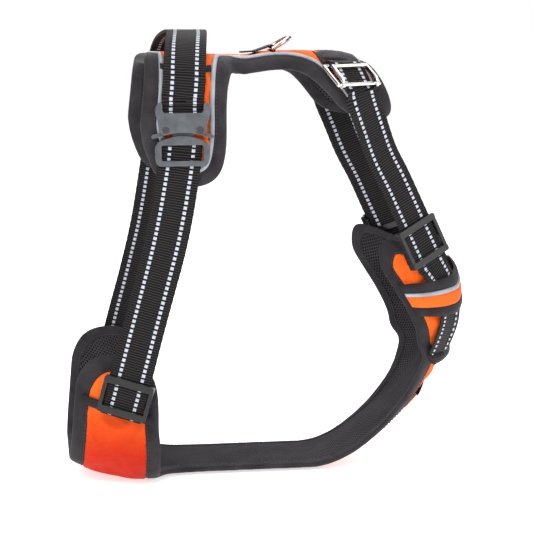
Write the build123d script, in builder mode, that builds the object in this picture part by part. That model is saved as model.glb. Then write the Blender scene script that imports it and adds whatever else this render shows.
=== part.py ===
from build123d import *
import math
import os

# A dog harness, standing as worn: +X is towards the dog's head, Z is up, and the near side is -Y.
# A padded back panel (saddle) and a padded belly and chest panel are joined by webbing, with a
# buckle on each side. Far pieces are the near ones mirrored about the XZ plane. Millimetres.

os.makedirs("parts", exist_ok=True)

# ---------------------------------------------------------------- driving sizes
WEB_WIDTH = 37.0
WEB_THICK = 2.4            # doubled webbing

# Heights are measured from a panel's middle surface, insets from its outline
PAD_HEIGHTS = (-3.4, 2.8)  # lining face and outer face of the foam
COVER_TOP = 4.4
COVER_HEIGHTS = (3.5, COVER_TOP)
LAYER_INSET = 9.0          # pad and cover outline
BINDING_RADIUS = 3.6
BINDING_INSET = 3.9
BINDING_HEIGHT = -0.3
PIPING_RADIUS = 0.9
PIPING_INSET = 13.5
CORD_STEP = 7.0            # least distance between sections of a binding or piping

BUCKLE_X = -88.2           # centre of the side buckle
BAR_RADIUS = 1.1           # webbing bars in the buckle
BAR_PLAY = 0.08            # clearance of a loop round its bar
SOCKET_BAR_Z = 333.6
RIVET_RADIUS = 2.3
RIVET_PLAY = 0.05
RIVET_DX = 15.0            # rivets, each side of the buckle centre
RIVET_Z = 323.3

NECK_WIRE_RADIUS = 1.8
NECK_RING_WIDTH, NECK_RING_LENGTH = 45.0, 27.0
LEASH_WIRE_RADIUS = 2.0
LEASH_HALF_WIDTH = 17.0    # leash ring, centre to side wire
LEASH_TAB_WIDTH = 26.0
TAB_EYE_RADIUS = 3.3


# ---------------------------------------------------------------- interpolation
def smooth_value(xs, ys, x):
    """Smooth, non-overshooting interpolation through a table."""
    last = len(xs) - 1
    if x <= xs[0]:
        return ys[0]
    if x >= xs[-1]:
        return ys[-1]
    grads = [(ys[i + 1] - ys[i]) / (xs[i + 1] - xs[i]) for i in range(last)]

    def slope(i):
        if i == 0:
            return grads[0]
        if i == last:
            return grads[-1]
        if grads[i - 1] * grads[i] <= 0:
            return 0.0
        return 2 * grads[i - 1] * grads[i] / (grads[i - 1] + grads[i])

    i = 0
    while x > xs[i + 1]:
        i += 1
    span = xs[i + 1] - xs[i]
    t = (x - xs[i]) / span
    return (
        ys[i] * (1 + 2 * t) * (1 - t) ** 2
        + span * slope(i) * t * (1 - t) ** 2
        + ys[i + 1] * t * t * (3 - 2 * t)
        - span * slope(i + 1) * t * t * (1 - t)
    )


def refined(points, per=6):
    """Catmull-Rom refinement of an open polyline, per steps to each segment."""
    last = len(points) - 1
    fine = []
    for i in range(last):
        near = [points[min(max(i + k, 0), last)] for k in (-1, 0, 1, 2)]
        for j in range(per):
            t = j / per
            fine.append(tuple(
                0.5 * (2 * b + (c - a) * t
                       + (2 * a - 5 * b + 4 * c - d) * t * t
                       + (3 * b - a - 3 * c + d) * t ** 3)
                for a, b, c, d in zip(*near)))
    fine.append(points[-1])
    return fine


# ---------------------------------------------------------------- padded panels
class Panel:
    """A bent pad, with surface coordinates run, across and height.

    run goes along the middle line in the XZ plane. across goes from the middle line over a
    rounded shoulder and down a straight side, negative on the near side. height is off the
    middle surface, positive outward. Each row gives, at one run: x and z of the middle line,
    direction of the sides in XZ (degrees), half width, shoulder radius.
    """

    def __init__(self, runs, rows):
        self.runs = runs
        self.xs, self.zs, self.angles, self.half_widths, self.shoulders = zip(*rows)
        self.outline = []

    def value(self, column, run):
        return smooth_value(self.runs, column, run)

    def centre(self, run):
        return self.value(self.xs, run), self.value(self.zs, run)

    def side_direction(self, run):
        angle = math.radians(self.value(self.angles, run))
        return math.cos(angle), math.sin(angle)

    def width_and_radius(self, run):
        return self.value(self.half_widths, run), self.value(self.shoulders, run)

    def point(self, run, across, height):
        mid_x, mid_z = self.centre(run)
        side_x, side_z = self.side_direction(run)
        width, radius = self.width_and_radius(run)
        reach, flat = abs(across), width - radius
        arc_end = flat + radius * math.pi / 2
        if reach <= flat:
            y, depth, out_y, out_side = reach, 0.0, 0.0, -1.0
        elif reach <= arc_end:
            turn = (reach - flat) / radius
            y = flat + radius * math.sin(turn)
            depth = radius * (1 - math.cos(turn))
            out_y, out_side = math.sin(turn), -math.cos(turn)
        else:
            y, depth, out_y, out_side = width, radius + reach - arc_end, 1.0, 0.0
        sign = 1.0 if across >= 0 else -1.0
        down = depth + height * out_side
        return Vector(mid_x + down * side_x, sign * (y + height * out_y), mid_z + down * side_z)

    def normal(self, run, across):
        """Outward normal of the middle surface."""
        tangent_run = self.point(run + 0.5, across, 0) - self.point(run - 0.5, across, 0)
        tangent_across = self.point(run, across + 0.5, 0) - self.point(run, across - 0.5, 0)
        normal = tangent_run.cross(tangent_across).normalized()
        outward = self.point(run, across, 1) - self.point(run, across, 0)
        return normal if normal.dot(outward) > 0 else -normal

    def lifted(self, run, across, lift):
        """Point lifted above the cover, square to it."""
        return self.point(run, across, COVER_TOP) + self.normal(run, across) * lift

    def to_surface(self, x, z):
        """(run, across) of the side point that has this x and z."""
        steps = 800
        best = (math.inf, None, None)
        for i in range(steps + 1):
            run = self.runs[0] + (self.runs[-1] - self.runs[0]) * i / steps
            mid_x, mid_z = self.centre(run)
            side_x, side_z = self.side_direction(run)
            depth = (x - mid_x) * side_x + (z - mid_z) * side_z
            miss = abs((x - mid_x) * side_z - (z - mid_z) * side_x)
            if depth > 0 and miss < best[0]:
                best = (miss, run, depth)
        _, run, depth = best
        width, radius = self.width_and_radius(run)
        flat = width - radius
        if depth < radius:
            return run, flat + radius * math.acos(1 - depth / radius)
        return run, flat + radius * math.pi / 2 + depth - radius

    def set_outline(self, half):
        """half: (run, across) points from the middle of one end to the middle of the other."""
        fine = refined(half)
        self.outline = fine + [(run, -across) for run, across in reversed(fine[1:-1])]

    def widest(self, run, inset):
        """Largest across at this run that stays inset inside the outline."""
        edges = list(zip(self.outline, self.outline[1:] + self.outline[:1]))

        def clearance(across):
            nearest = math.inf
            for (run0, across0), (run1, across1) in edges:
                d_run, d_across = run1 - run0, across1 - across0
                square = d_run * d_run + d_across * d_across
                t = 0
                if square != 0:
                    dot = (run - run0) * d_run + (across - across0) * d_across
                    t = max(0, min(1, dot / square))
                gap = math.hypot(run - run0 - t * d_run, across - across0 - t * d_across)
                nearest = min(nearest, gap)
            return nearest

        def inside(across):
            odd = False
            for (run0, across0), (run1, across1) in edges:
                if (across0 > across) != (across1 > across):
                    t = (across - across0) / (across1 - across0)
                    if run < (run1 - run0) * t + run0:
                        odd = not odd
            return odd

        good = None
        for across in range(2, 240):
            if inside(across) and clearance(across) >= inset:
                good = across
            elif good is not None:
                break
        return good

    def inset_loop(self, inset):
        """The outline moved inward by inset."""
        loop = self.outline
        count = len(loop)
        area = sum(loop[i][0] * loop[(i + 1) % count][1] - loop[(i + 1) % count][0] * loop[i][1]
                   for i in range(count))
        sign = 1 if area > 0 else -1
        moved = []
        for i, (run, across) in enumerate(loop):
            before, after = loop[i - 1], loop[(i + 1) % count]
            d_run, d_across = after[0] - before[0], after[1] - before[1]
            length = math.hypot(d_run, d_across) or 1.0
            moved.append((run - sign * d_across / length * inset,
                          across + sign * d_run / length * inset))
        return moved


def layer_profile(panel, run, acrosses, heights):
    """Closed cross-section of a layer on a panel at one run, between two heights."""
    mid_x, mid_z = panel.centre(run)
    side_x, side_z = panel.side_direction(run)
    plane = Plane(origin=(mid_x, 0, mid_z), x_dir=(0, 1, 0), z_dir=(side_z, 0, -side_x))

    def face_points(height):
        local = [plane.to_local_coords(panel.point(run, across, height)) for across in acrosses]
        return [(point.X, point.Y) for point in local]

    inner, outer = (face_points(height) for height in heights)
    with BuildSketch(plane) as profile:
        with BuildLine():
            Spline(*outer)
            Line(outer[-1], inner[-1])
            Spline(*reversed(inner))
            Line(inner[0], outer[0])
        make_face()
    return profile.sketch


def panel_profiles(panel, inner_runs, heights, count=17):
    """Cross-sections of a full-width layer, from end to end of the panel."""
    end_gap = LAYER_INSET + 0.3
    profiles = []
    for run in [panel.runs[0] + end_gap, *inner_runs, panel.runs[-1] - end_gap]:
        half = panel.widest(run, LAYER_INSET)
        acrosses = [half * (2 * i / (count - 1) - 1) for i in range(count)]
        profiles.append(layer_profile(panel, run, acrosses, heights))
    return profiles


def patch_profiles(panel, rows, heights, count=7):
    """Cross-sections of a partial layer; each row is (run, across from, across to)."""
    profiles = []
    for run, start, end in rows:
        acrosses = [start + (end - start) * i / (count - 1) for i in range(count)]
        profiles.append(layer_profile(panel, run, acrosses, heights))
    return profiles


def cord_profiles(panel, inset, height, radius):
    """Octagonal sections of a cord along the far half of the inset outline."""
    loop = panel.inset_loop(inset)
    half = [(run, max(across, 0.0)) for run, across in loop[1:len(loop) // 2]]
    start, end = (half[0][0], 0.0), (half[-1][0], 0.0)
    end_point = panel.point(*end, height)
    kept = [start]
    for place in half:
        if place[1] <= 3.0:
            continue
        point = panel.point(*place, height)
        from_last = (point - panel.point(*kept[-1], height)).length
        if from_last > CORD_STEP and (point - end_point).length > CORD_STEP * 0.6:
            kept.append(place)
    kept.append(end)
    points = [panel.point(*place, height) for place in kept]
    profiles = []
    for i, origin in enumerate(points):
        if i == 0:
            tangent = Vector(0, 1, 0)
        elif i == len(points) - 1:
            tangent = Vector(0, -1, 0)
        else:
            tangent = (points[i + 1] - points[i - 1]).normalized()
        outward = (panel.point(*kept[i], height + 1) - origin).normalized()
        across_cord = (outward - tangent * outward.dot(tangent)).normalized()
        with BuildSketch(Plane(origin=origin, x_dir=across_cord, z_dir=tangent)) as profile:
            RegularPolygon(radius, 8)
        profiles.append(profile.sketch)
    return profiles


# ---------------------------------------------------------------- straps
# A strap frame is (origin, width direction, length direction).
def strap_frames(points, normals):
    """Frames along a strap's middle line from its points and outward normals."""
    frames = []
    for i, origin in enumerate(points):
        before, after = points[max(i - 1, 0)], points[min(i + 1, len(points) - 1)]
        length_dir = (after - before).normalized()
        frames.append((origin, normals[i].cross(length_dir).normalized(), length_dir))
    return frames


def ribbon(frames, width, thick):
    """Cross-sections of a strap."""
    profiles = []
    for origin, width_dir, length_dir in frames:
        with BuildSketch(Plane(origin=origin, x_dir=width_dir, z_dir=length_dir)) as profile:
            Rectangle(width, thick)
        profiles.append(profile.sketch)
    return profiles


def surface_ribbon(panel, places, width, thick, lift):
    """Strap over a panel along (run, across) places, its middle lifted above the cover."""
    points = [panel.lifted(*place, lift) for place in places]
    normals = [panel.normal(*place) for place in places]
    return ribbon(strap_frames(points, normals), width, thick)


def outward(turn):
    """Horizontal normal of the near side, turned rearward by so many degrees."""
    angle = math.radians(turn)
    return Vector(-math.sin(angle), -math.cos(angle), 0.0)


# ---------------------------------------------------------------- back panel surface
SADDLE_ROWS = [  # x (also the run), z, side angle, half width, shoulder radius
    (-119, 384, -95.5, 87, 32), (-100, 384, -93, 87, 32), (-75, 383, -90.5, 87, 32),
    (-54, 381.6, -90, 87, 32), (-44, 381.2, -90, 74, 28), (-34, 381, -90, 50, 19),
    (-24, 381.2, -90, 42, 16), (0, 384, -88, 41, 16), (18, 384.9, -80, 43, 19),
    (28, 385.1, -74, 50, 28), (38, 384.9, -69, 60, 41), (60, 383, -66, 60, 42),
    (80, 379.8, -65, 56, 40), (96, 375.6, -65, 51, 38),
]
SADDLE_FLAP = [  # x, z round the edge of the side flap, from its rear
    (-121.5, 356), (-123.7, 340), (-124.6, 327), (-122.5, 312), (-117.5, 296), (-110, 282),
    (-98, 274.5), (-84, 271.8), (-72.5, 272.8), (-61.7, 276.8), (-53.2, 286.6), (-48.9, 301),
    (-47.6, 316), (-47.6, 338),
]
SADDLE_REAR = [(-119, 0), (-119, 40), (-119, 80)]  # run, across
SADDLE_FRONT = [  # run, across: waist, shoulder wing and front edge
    (-47.3, 104), (-46.2, 90), (-43.5, 76), (-40, 62), (-34, 51), (-24, 45.5), (-8, 44), (6, 44),
    (17, 45.5), (25, 52), (31, 63), (35.5, 76), (40, 89), (48, 97), (60, 99.5), (73, 97),
    (84, 88), (91, 74), (94.5, 56), (95.5, 36), (96, 18), (96, 0),
]
SADDLE_RUNS = [-106, -90, -72, -60, -55, -51, -47, -43, -39, -34, -26, -12, 4, 16, 24, 31, 38,
               46, 58, 70, 80]

saddle = Panel([row[0] for row in SADDLE_ROWS], SADDLE_ROWS)
saddle.set_outline(SADDLE_REAR + [saddle.to_surface(*q) for q in SADDLE_FLAP] + SADDLE_FRONT)

# ---------------------------------------------------------------- belly and chest surface
BELLY_ROWS = [  # x, z, side angle, half width, shoulder radius; from the rear to the chest top
    (-190, 21, 85, 66, 26), (-170, 15.5, 86, 71.5, 27), (-150, 11.5, 87.5, 77, 28),
    (-128, 7.6, 89, 83, 30), (-106, 5.2, 90, 88, 31), (-84, 4.4, 90, 88, 31),
    (-60, 4.4, 90, 86, 30), (0, 4.4, 90, 80, 26), (36, 4.4, 91, 76, 26),
    (52, 6.6, 94, 74, 28), (70, 13.5, 98, 72, 31), (86, 23, 104, 70, 35),
    (104, 36.5, 111, 68, 39), (120, 50.5, 119, 66, 44), (136, 67.5, 128, 65, 49),
    (150, 86, 137, 64, 53), (162, 103, 145, 63.5, 56), (171.5, 121, 151, 63.5, 58),
    (177, 138, 155, 63.5, 58), (178.5, 152, 157, 63.5, 58), (176.5, 168, 157.5, 63.5, 58),
    (173, 183, 157.5, 63.5, 58), (168.5, 196, 157.5, 63.5, 58),
]
BELLY_REAR = [(0, 0), (0, 40), (0, 70)]  # run, across
BELLY_FLAP = [  # x, z round the edge of the rear side flap
    (-188.5, 62), (-186.2, 77), (-184, 92), (-179.5, 105), (-172.5, 114.5), (-162, 120),
    (-149, 121.5), (-136, 119.5), (-124, 113), (-115.5, 103), (-111.6, 90), (-110.6, 72),
    (-110.4, 54), (-109.6, 38),
]
BELLY_WAIST = [  # run, across
    (83, 67), (88, 55.5), (96, 48.5), (112, 45.5), (140, 44.5), (190, 44.5), (230, 44.5),
    (262, 44.5), (290, 44.5), (322, 44.5), (350, 46), (370, 50.5), (383, 57),
]
CHEST_SIDE = [  # x, z up the edge of the chest's side
    (134.4, 117.5), (132, 131), (127, 143.5), (120.3, 156), (113.2, 167.8), (105.5, 179.5),
    (97.5, 193), (95, 205), (96.5, 216),
]
CHEST_TOP = [(4, 112), (1, 100), (0, 84), (0, 56), (0, 28), (0, 0)]  # back from the end, across
BELLY_RUNS = [16, 30, 48, 62, 68, 74, 80, 86, 93, 104, 122, 180, 228, 252, 276, 300, 324, 346,
              362, 376, 388, 400, 412, 424, 436, 448, 460, 471]

belly_lengths = [0.0]
for (x0, z0, *_), (x1, z1, *_) in zip(BELLY_ROWS, BELLY_ROWS[1:]):
    belly_lengths.append(belly_lengths[-1] + math.hypot(x1 - x0, z1 - z0))
BELLY_END = belly_lengths[-1]

belly = Panel(belly_lengths, BELLY_ROWS)
belly.set_outline(
    BELLY_REAR
    + [belly.to_surface(*q) for q in BELLY_FLAP]
    + BELLY_WAIST
    + [belly.to_surface(*q) for q in CHEST_SIDE]
    + [(BELLY_END - back, across) for back, across in CHEST_TOP]
)

# ---------------------------------------------------------------- panel layers and edges
# Pads: foam core and lining as one closed body
with BuildPart() as saddle_pad:
    loft(panel_profiles(saddle, SADDLE_RUNS, PAD_HEIGHTS), ruled=True)

with BuildPart() as saddle_cover:
    loft(panel_profiles(saddle, SADDLE_RUNS, COVER_HEIGHTS), ruled=True)

with BuildPart() as belly_pad:
    loft(panel_profiles(belly, BELLY_RUNS, PAD_HEIGHTS), ruled=True)

with BuildPart() as belly_cover:
    loft(panel_profiles(belly, BELLY_RUNS, COVER_HEIGHTS), ruled=True)

# Bound edges, all round each panel
with BuildPart() as saddle_binding:
    loft(cord_profiles(saddle, BINDING_INSET, BINDING_HEIGHT, BINDING_RADIUS), ruled=True)
    mirror(about=Plane.XZ)

with BuildPart() as belly_binding:
    loft(cord_profiles(belly, BINDING_INSET, BINDING_HEIGHT, BINDING_RADIUS), ruled=True)
    mirror(about=Plane.XZ)

# Reflective piping inside the back panel's bound edge
PIPING_HEIGHT = COVER_TOP + PIPING_RADIUS + 0.45
with BuildPart() as saddle_piping:
    loft(cord_profiles(saddle, PIPING_INSET, PIPING_HEIGHT, PIPING_RADIUS), ruled=True)
    mirror(about=Plane.XZ)

# ---------------------------------------------------------------- bands on the panels
# Rolled fabric band over the withers, across the back panel's front
WITHERS_RUN = 76
WITHERS_ACROSS = (-36, -30, -24, -18, -9, 0, 9, 18, 24, 30, 36)
with BuildPart() as withers_band:
    places = [(WITHERS_RUN, across) for across in WITHERS_ACROSS]
    loft(surface_ribbon(saddle, places, width=13.0, thick=1.6, lift=3.5), ruled=True)

# Keeper strips that hold the handle webbing to the back panel's sides
KEEPER_LINE = [(-103.4, 81.5), (-94, 84), (-83, 85), (-72, 84), (-63.4, 81.5)]  # run, across
with BuildPart() as handle_keepers:
    for side in (-1, 1):
        places = [(run, side * across) for run, across in KEEPER_LINE]
        loft(surface_ribbon(saddle, places, width=6.0, thick=0.8, lift=0.9), ruled=True)

# Band on each rear flap of the belly panel
BELLY_BAND_XZ = [(-175, 81.5), (-163, 76.5), (-150, 72.0), (-138, 68.5), (-122, 65)]
with BuildPart() as belly_band:
    far_places = [belly.to_surface(*q) for q in BELLY_BAND_XZ]
    places = [(run, -across) for run, across in far_places]
    loft(surface_ribbon(belly, places, width=8.0, thick=0.8, lift=1.1), ruled=True)

# Chest webbing, which continues the neck straps down the front corners of the chest
CHEST_STRAP_LINE = [  # distance back from the chest end, across
    (18, 66), (26, 60), (34, 55), (46, 51), (58, 48.5), (70, 47), (82, 46), (94, 45)]
CHEST_STRAP_HALF = 17
CHEST_STRAP_HEIGHTS = (COVER_TOP + 0.8, COVER_TOP + 2.4)
with BuildPart() as chest_strap:
    rows = [(BELLY_END - back, -across - CHEST_STRAP_HALF, -across + CHEST_STRAP_HALF)
            for back, across in CHEST_STRAP_LINE]
    loft(patch_profiles(belly, rows, CHEST_STRAP_HEIGHTS), ruled=True)

# Sleeve across the top of the chest, its ends curving down
SLEEVE_ACROSS = (-92, -82, -72, -62, -52, -42, -32, -22, -11, 0,
                 11, 22, 32, 42, 52, 62, 72, 82, 92)
with BuildPart() as chest_sleeve:
    places = [(BELLY_END - 25.5 - 0.16 * abs(across) - 0.0010 * across * across, across)
              for across in SLEEVE_ACROSS]
    loft(surface_ribbon(belly, places, width=29.0, thick=1.4, lift=4.6), ruled=True)

# Thick roll lower on the chest, its ends curving up
with BuildPart() as bib_roll:
    places = [(BELLY_END - 112 + 0.006 * across * across, across) for across in range(-40, 41, 8)]
    loft(surface_ribbon(belly, places, width=9.0, thick=4.4, lift=3.6), ruled=True)

# ---------------------------------------------------------------- side buckle
# The socket's front plate is the outer one, its back plate faces the dog.
FRONT_PLATE_Y = (-102.0, -100.4)   # outer and inner face
BACK_PLATE_Y = (-95.5, -94.1)      # opposite order to z: outer face first, inner face second
SOCKET_Y = -98.0                   # middle of the socket

# Outline points are (distance from the buckle centre, z)
FRONT_PLATE_TOP = [(22.6, 345.4), (21.2, 346.9), (18.6, 346.6), (17.9, 345.0), (17.9, 340.2),
                   (16.2, 338.0)]  # with a notch for the webbing
BACK_PLATE_TOP = [(22.6, 344.4), (21.2, 345.6)]
SOCKET_SIDE = [(23.7, 341.0), (22.9, 334.5), (21.3, 328.8), (20.6, 324.5), (19.6, 320.6),
               (16.6, 318.6)]
LEVER_OUTLINE = [(20.5, -2.6), (26.6, -4.2), (27.6, -6.0), (26.4, -7.4), (20.5, -6.2),
                 (15.5, -3.9), (12.0, -2.6), (10.0, 1.0), (9.9, 6.2), (12.4, 7.2), (15.2, 4.0),
                 (18.8, 2.4)]      # z from the rivet's centre
PLUG_SIDE = [(20.4, 312.8), (23.4, 309.5), (23.9, 304.0), (23.4, 297.5), (21.0, 292.6),
             (17.5, 291.8)]
PLUG_X = BUCKLE_X - 0.6
PLUG_Y = (-101.8, -98.2)           # outer and inner face
PLUG_BAR_Y, PLUG_BAR_Z = -95.6, 311.0


def facing(y):
    """Sketch plane at y facing the near side; its local (x, y) are (X, Z)."""
    return Plane.XZ.offset(-y)


def along_x(x, y, z):
    """Sketch plane at a point, facing +X; its local (x, y) are (Y, Z)."""
    return Plane(origin=(x, y, z), x_dir=(0, 1, 0), z_dir=(1, 0, 0))


def placed(points, centre, side):
    """Outline points to the front (side 1) or rear (side -1) of a centre."""
    return [(centre + side * x, z) for x, z in points]


def socket_outline(top_half):
    """Face of a socket plate, added to the open sketch."""
    with BuildLine() as edge:
        top = Polyline(*placed(top_half, BUCKLE_X, -1), *placed(top_half[::-1], BUCKLE_X, 1))
        front = Spline(top @ 1, *placed(SOCKET_SIDE, BUCKLE_X, 1))
        mouth = ThreePointArc(front @ 1, (BUCKLE_X, 320.9), (BUCKLE_X - 16.6, 318.6))
        Spline(mouth @ 1, *placed(SOCKET_SIDE[-2::-1], BUCKLE_X, -1), top @ 0)
    make_face(edge.edges())


RIVET_PLACES = ((BUCKLE_X - RIVET_DX, RIVET_Z), (BUCKLE_X + RIVET_DX, RIVET_Z))

with BuildPart() as socket_front_plate:
    with BuildSketch(facing(FRONT_PLATE_Y[1])):
        socket_outline(FRONT_PLATE_TOP)
        with Locations(*RIVET_PLACES):
            Circle(RIVET_RADIUS + RIVET_PLAY, mode=Mode.SUBTRACT)
    extrude(amount=FRONT_PLATE_Y[1] - FRONT_PLATE_Y[0])
    fillet(socket_front_plate.faces().sort_by(Axis.Y)[0].outer_wire().edges(), 0.5)

with BuildPart() as socket_back_plate:
    with BuildSketch(facing(BACK_PLATE_Y[1])):
        socket_outline(BACK_PLATE_TOP)
        with Locations(*RIVET_PLACES):
            Circle(RIVET_RADIUS + RIVET_PLAY, mode=Mode.SUBTRACT)
    extrude(amount=BACK_PLATE_Y[1] - BACK_PLATE_Y[0])
    # side cheeks that reach almost to the front plate
    with BuildSketch(facing(BACK_PLATE_Y[0])):
        with Locations((BUCKLE_X - 21.1, 338.0), (BUCKLE_X + 21.1, 338.0)):
            Rectangle(2.6, 10.0)
    extrude(amount=BACK_PLATE_Y[0] - FRONT_PLATE_Y[1] - 0.1)

SOCKET_BAR_HALF = 19.6
with BuildPart() as socket_bar:
    with BuildSketch(along_x(BUCKLE_X - SOCKET_BAR_HALF, SOCKET_Y, SOCKET_BAR_Z)):
        Circle(BAR_RADIUS)
    extrude(amount=2 * SOCKET_BAR_HALF)

RIVET_STEPS = [  # start y, radius, length towards the near side: shank, head, join of the two
    (BACK_PLATE_Y[1], RIVET_RADIUS, BACK_PLATE_Y[1] - FRONT_PLATE_Y[0] - 0.2),
    (FRONT_PLATE_Y[0] - 0.05, 3.0, 0.45),
    (FRONT_PLATE_Y[0] + 0.4, RIVET_RADIUS, 0.6),
]
with BuildPart() as socket_rivets:
    for place in RIVET_PLACES:
        for start_y, radius, length in RIVET_STEPS:
            with BuildSketch(facing(start_y)):
                with Locations(place):
                    Circle(radius)
            extrude(amount=length)


def lever(side):
    """Release lever on a rivet, added to the open part; side 1 is the front one."""
    outline = [(x, RIVET_Z + z) for x, z in placed(LEVER_OUTLINE, BUCKLE_X, side)]
    pivot = (BUCKLE_X + side * RIVET_DX, RIVET_Z)
    with BuildSketch(facing(SOCKET_Y + 1.7)) as profile:
        with BuildLine():
            Polyline(*outline, close=True)
        make_face()
        with Locations(pivot):
            Circle(3.6)
        with Locations(pivot):
            Circle(RIVET_RADIUS + RIVET_PLAY, mode=Mode.SUBTRACT)
    extrude(profile.sketch, amount=3.4)


with BuildPart() as lever_front:
    lever(1)
with BuildPart() as lever_rear:
    lever(-1)

# Bow spring that pushes the two levers apart
SPRING_REAR_X, SPRING_FRONT_X = BUCKLE_X - 9.5, BUCKLE_X + 9.5
SPRING_TOP_Z, SPRING_BOTTOM_Z, SPRING_BOW = 329.0, 328.4, 2.0
with BuildPart() as lever_spring:
    with BuildSketch(facing(SOCKET_Y + 1.2)):
        with BuildLine():
            ThreePointArc((SPRING_REAR_X, SPRING_TOP_Z), (BUCKLE_X, SPRING_TOP_Z + SPRING_BOW),
                          (SPRING_FRONT_X, SPRING_TOP_Z))
            Line((SPRING_FRONT_X, SPRING_TOP_Z), (SPRING_FRONT_X, SPRING_BOTTOM_Z))
            ThreePointArc((SPRING_FRONT_X, SPRING_BOTTOM_Z),
                          (BUCKLE_X, SPRING_BOTTOM_Z + SPRING_BOW),
                          (SPRING_REAR_X, SPRING_BOTTOM_Z))
            Line((SPRING_REAR_X, SPRING_BOTTOM_Z), (SPRING_REAR_X, SPRING_TOP_Z))
        make_face()
    extrude(amount=2.4)

with BuildPart() as plug:
    # frame
    with BuildSketch(facing(PLUG_Y[1])):
        with BuildLine():
            crown = ThreePointArc((PLUG_X - 12.5, 316.2), (PLUG_X, 318.2), (PLUG_X + 12.5, 316.2))
            front_side = Spline(crown @ 1, *placed(PLUG_SIDE, PLUG_X, 1))
            foot = Line(front_side @ 1, (PLUG_X - 17.5, 291.8))
            Spline(foot @ 1, *placed(PLUG_SIDE[-2::-1], PLUG_X, -1), crown @ 0)
        make_face()
        with Locations((PLUG_X, 303.3)):
            RectangleRounded(36.4, 13.6, 1.6, mode=Mode.SUBTRACT)
    extrude(amount=PLUG_Y[1] - PLUG_Y[0])
    fillet(plug.faces().sort_by(Axis.Y)[0].edges(), 0.6)
    # tongue between the socket plates
    with BuildSketch(facing(SOCKET_Y + 1.5)):
        with Locations((BUCKLE_X, 321.0)):
            RectangleRounded(18.0, 14.0, 2.0)
    extrude(amount=3.0)
    # webbing bar behind the frame, on two lugs
    with BuildSketch(facing(-94.0)):
        with Locations((PLUG_X - 20.6, PLUG_BAR_Z), (PLUG_X + 20.6, PLUG_BAR_Z)):
            Rectangle(2.4, 3.4)
    extrude(amount=5.0)
    with BuildSketch(along_x(PLUG_X - 21.0, PLUG_BAR_Y, PLUG_BAR_Z)):
        Circle(BAR_RADIUS)
    extrude(amount=42.0)

# ---------------------------------------------------------------- girth strap
# From the belly panel up to the plug; the slider sits on its straight lower run
GIRTH_LOW, GIRTH_HIGH = Vector(-145.4, -92.2, 66.0), Vector(-116.6, -93.2, 172.0)
GIRTH_DIR = (GIRTH_HIGH - GIRTH_LOW).normalized()
GIRTH_LINE = [  # point, rearward turn of the outward normal
    (GIRTH_LOW, 15), (GIRTH_LOW + GIRTH_DIR * 36, 15), (GIRTH_LOW + GIRTH_DIR * 72, 15),
    (GIRTH_HIGH, 15), (Vector(-104.6, -94.4, 218), 10), (Vector(-97.2, -96.1, 254), 5),
    (Vector(-91.2, -96.7, 290), 0), (Vector(-89.2, -96.1, 303.5), 0),
]
girth_frames = strap_frames([point for point, _ in GIRTH_LINE],
                            [outward(turn) for _, turn in GIRTH_LINE])
with BuildPart() as girth_strap:
    loft(ribbon(girth_frames, WEB_WIDTH, WEB_THICK), ruled=True)
    # eye round the plug's bar
    with BuildSketch(along_x(BUCKLE_X - 16.6, PLUG_BAR_Y, PLUG_BAR_Z)):
        with BuildLine():
            Polyline((-1.2, -8.5), (1.2, -8.5), (1.4, -1.8), (-1.4, -1.8), close=True)
        make_face()
        Circle(2.3)
        Circle(BAR_RADIUS + BAR_PLAY, mode=Mode.SUBTRACT)
    extrude(amount=33.6)

# ---------------------------------------------------------------- neck strap
# Neck ring plane: origin at the middle of the lower bar, x along the bar, y up the ring
RING_ORIGIN = Vector(72.2, -78.0, 361.8)
RING_BAR_DIR = Vector(0.90, 0.43, 0.03).normalized()
ring_slope = Vector(-0.47, 0.66, 0.585)
ring_up = (ring_slope - RING_BAR_DIR * RING_BAR_DIR.dot(ring_slope)).normalized()
RING_NORMAL = RING_BAR_DIR.cross(ring_up)
ring_plane = Plane(origin=RING_ORIGIN, x_dir=RING_BAR_DIR, z_dir=RING_NORMAL)

NECK_LOW, NECK_HIGH = Vector(145.0, -68.0, 195.0), Vector(108.5, -68.0, 272.0)
NECK_DIR = (NECK_HIGH - NECK_LOW).normalized()
NECK_LAST = Vector(76.8, -77.0, 345)                       # last point below the ring
NECK_TAIL = (NECK_LAST - RING_ORIGIN).normalized()         # from the ring down the strap
NECK_LINE = [  # point, rearward turn of the outward normal
    (NECK_LOW, -30), (NECK_LOW + NECK_DIR * 28, -30), (NECK_LOW + NECK_DIR * 56, -30),
    (NECK_HIGH, -30), (Vector(95.4, -69.4, 297), -30), (Vector(84.4, -73.2, 325), -29),
    (NECK_LAST, -27), (RING_ORIGIN + NECK_TAIL * 9.0, -26),
]
neck_frames = strap_frames([point for point, _ in NECK_LINE],
                           [outward(turn) for _, turn in NECK_LINE])


def ring_eye(plane, half, tail):
    """Webbing loop round a bar on the plane's x axis, tail towards tail; joins the open part."""
    tail_y, tail_z = tail.dot(plane.y_dir), tail.dot(plane.z_dir)
    length = math.hypot(tail_y, tail_z)
    tail_y, tail_z = tail_y / length, tail_z / length
    corners = [(tail_y * d - tail_z * w, tail_z * d + tail_y * w)
               for d, w in ((1.5, -1.2), (8.5, -1.2), (8.5, 1.2), (1.5, 1.2))]
    start = plane.from_local_coords((-half, 0, 0))
    with BuildSketch(Plane(origin=start, x_dir=plane.y_dir, z_dir=plane.x_dir)) as loop:
        with BuildLine():
            Polyline(*corners, close=True)
        make_face()
        Circle(NECK_WIRE_RADIUS + 1.3)
        Circle(NECK_WIRE_RADIUS + BAR_PLAY, mode=Mode.SUBTRACT)
    extrude(loop.sketch, amount=2 * half)


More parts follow.
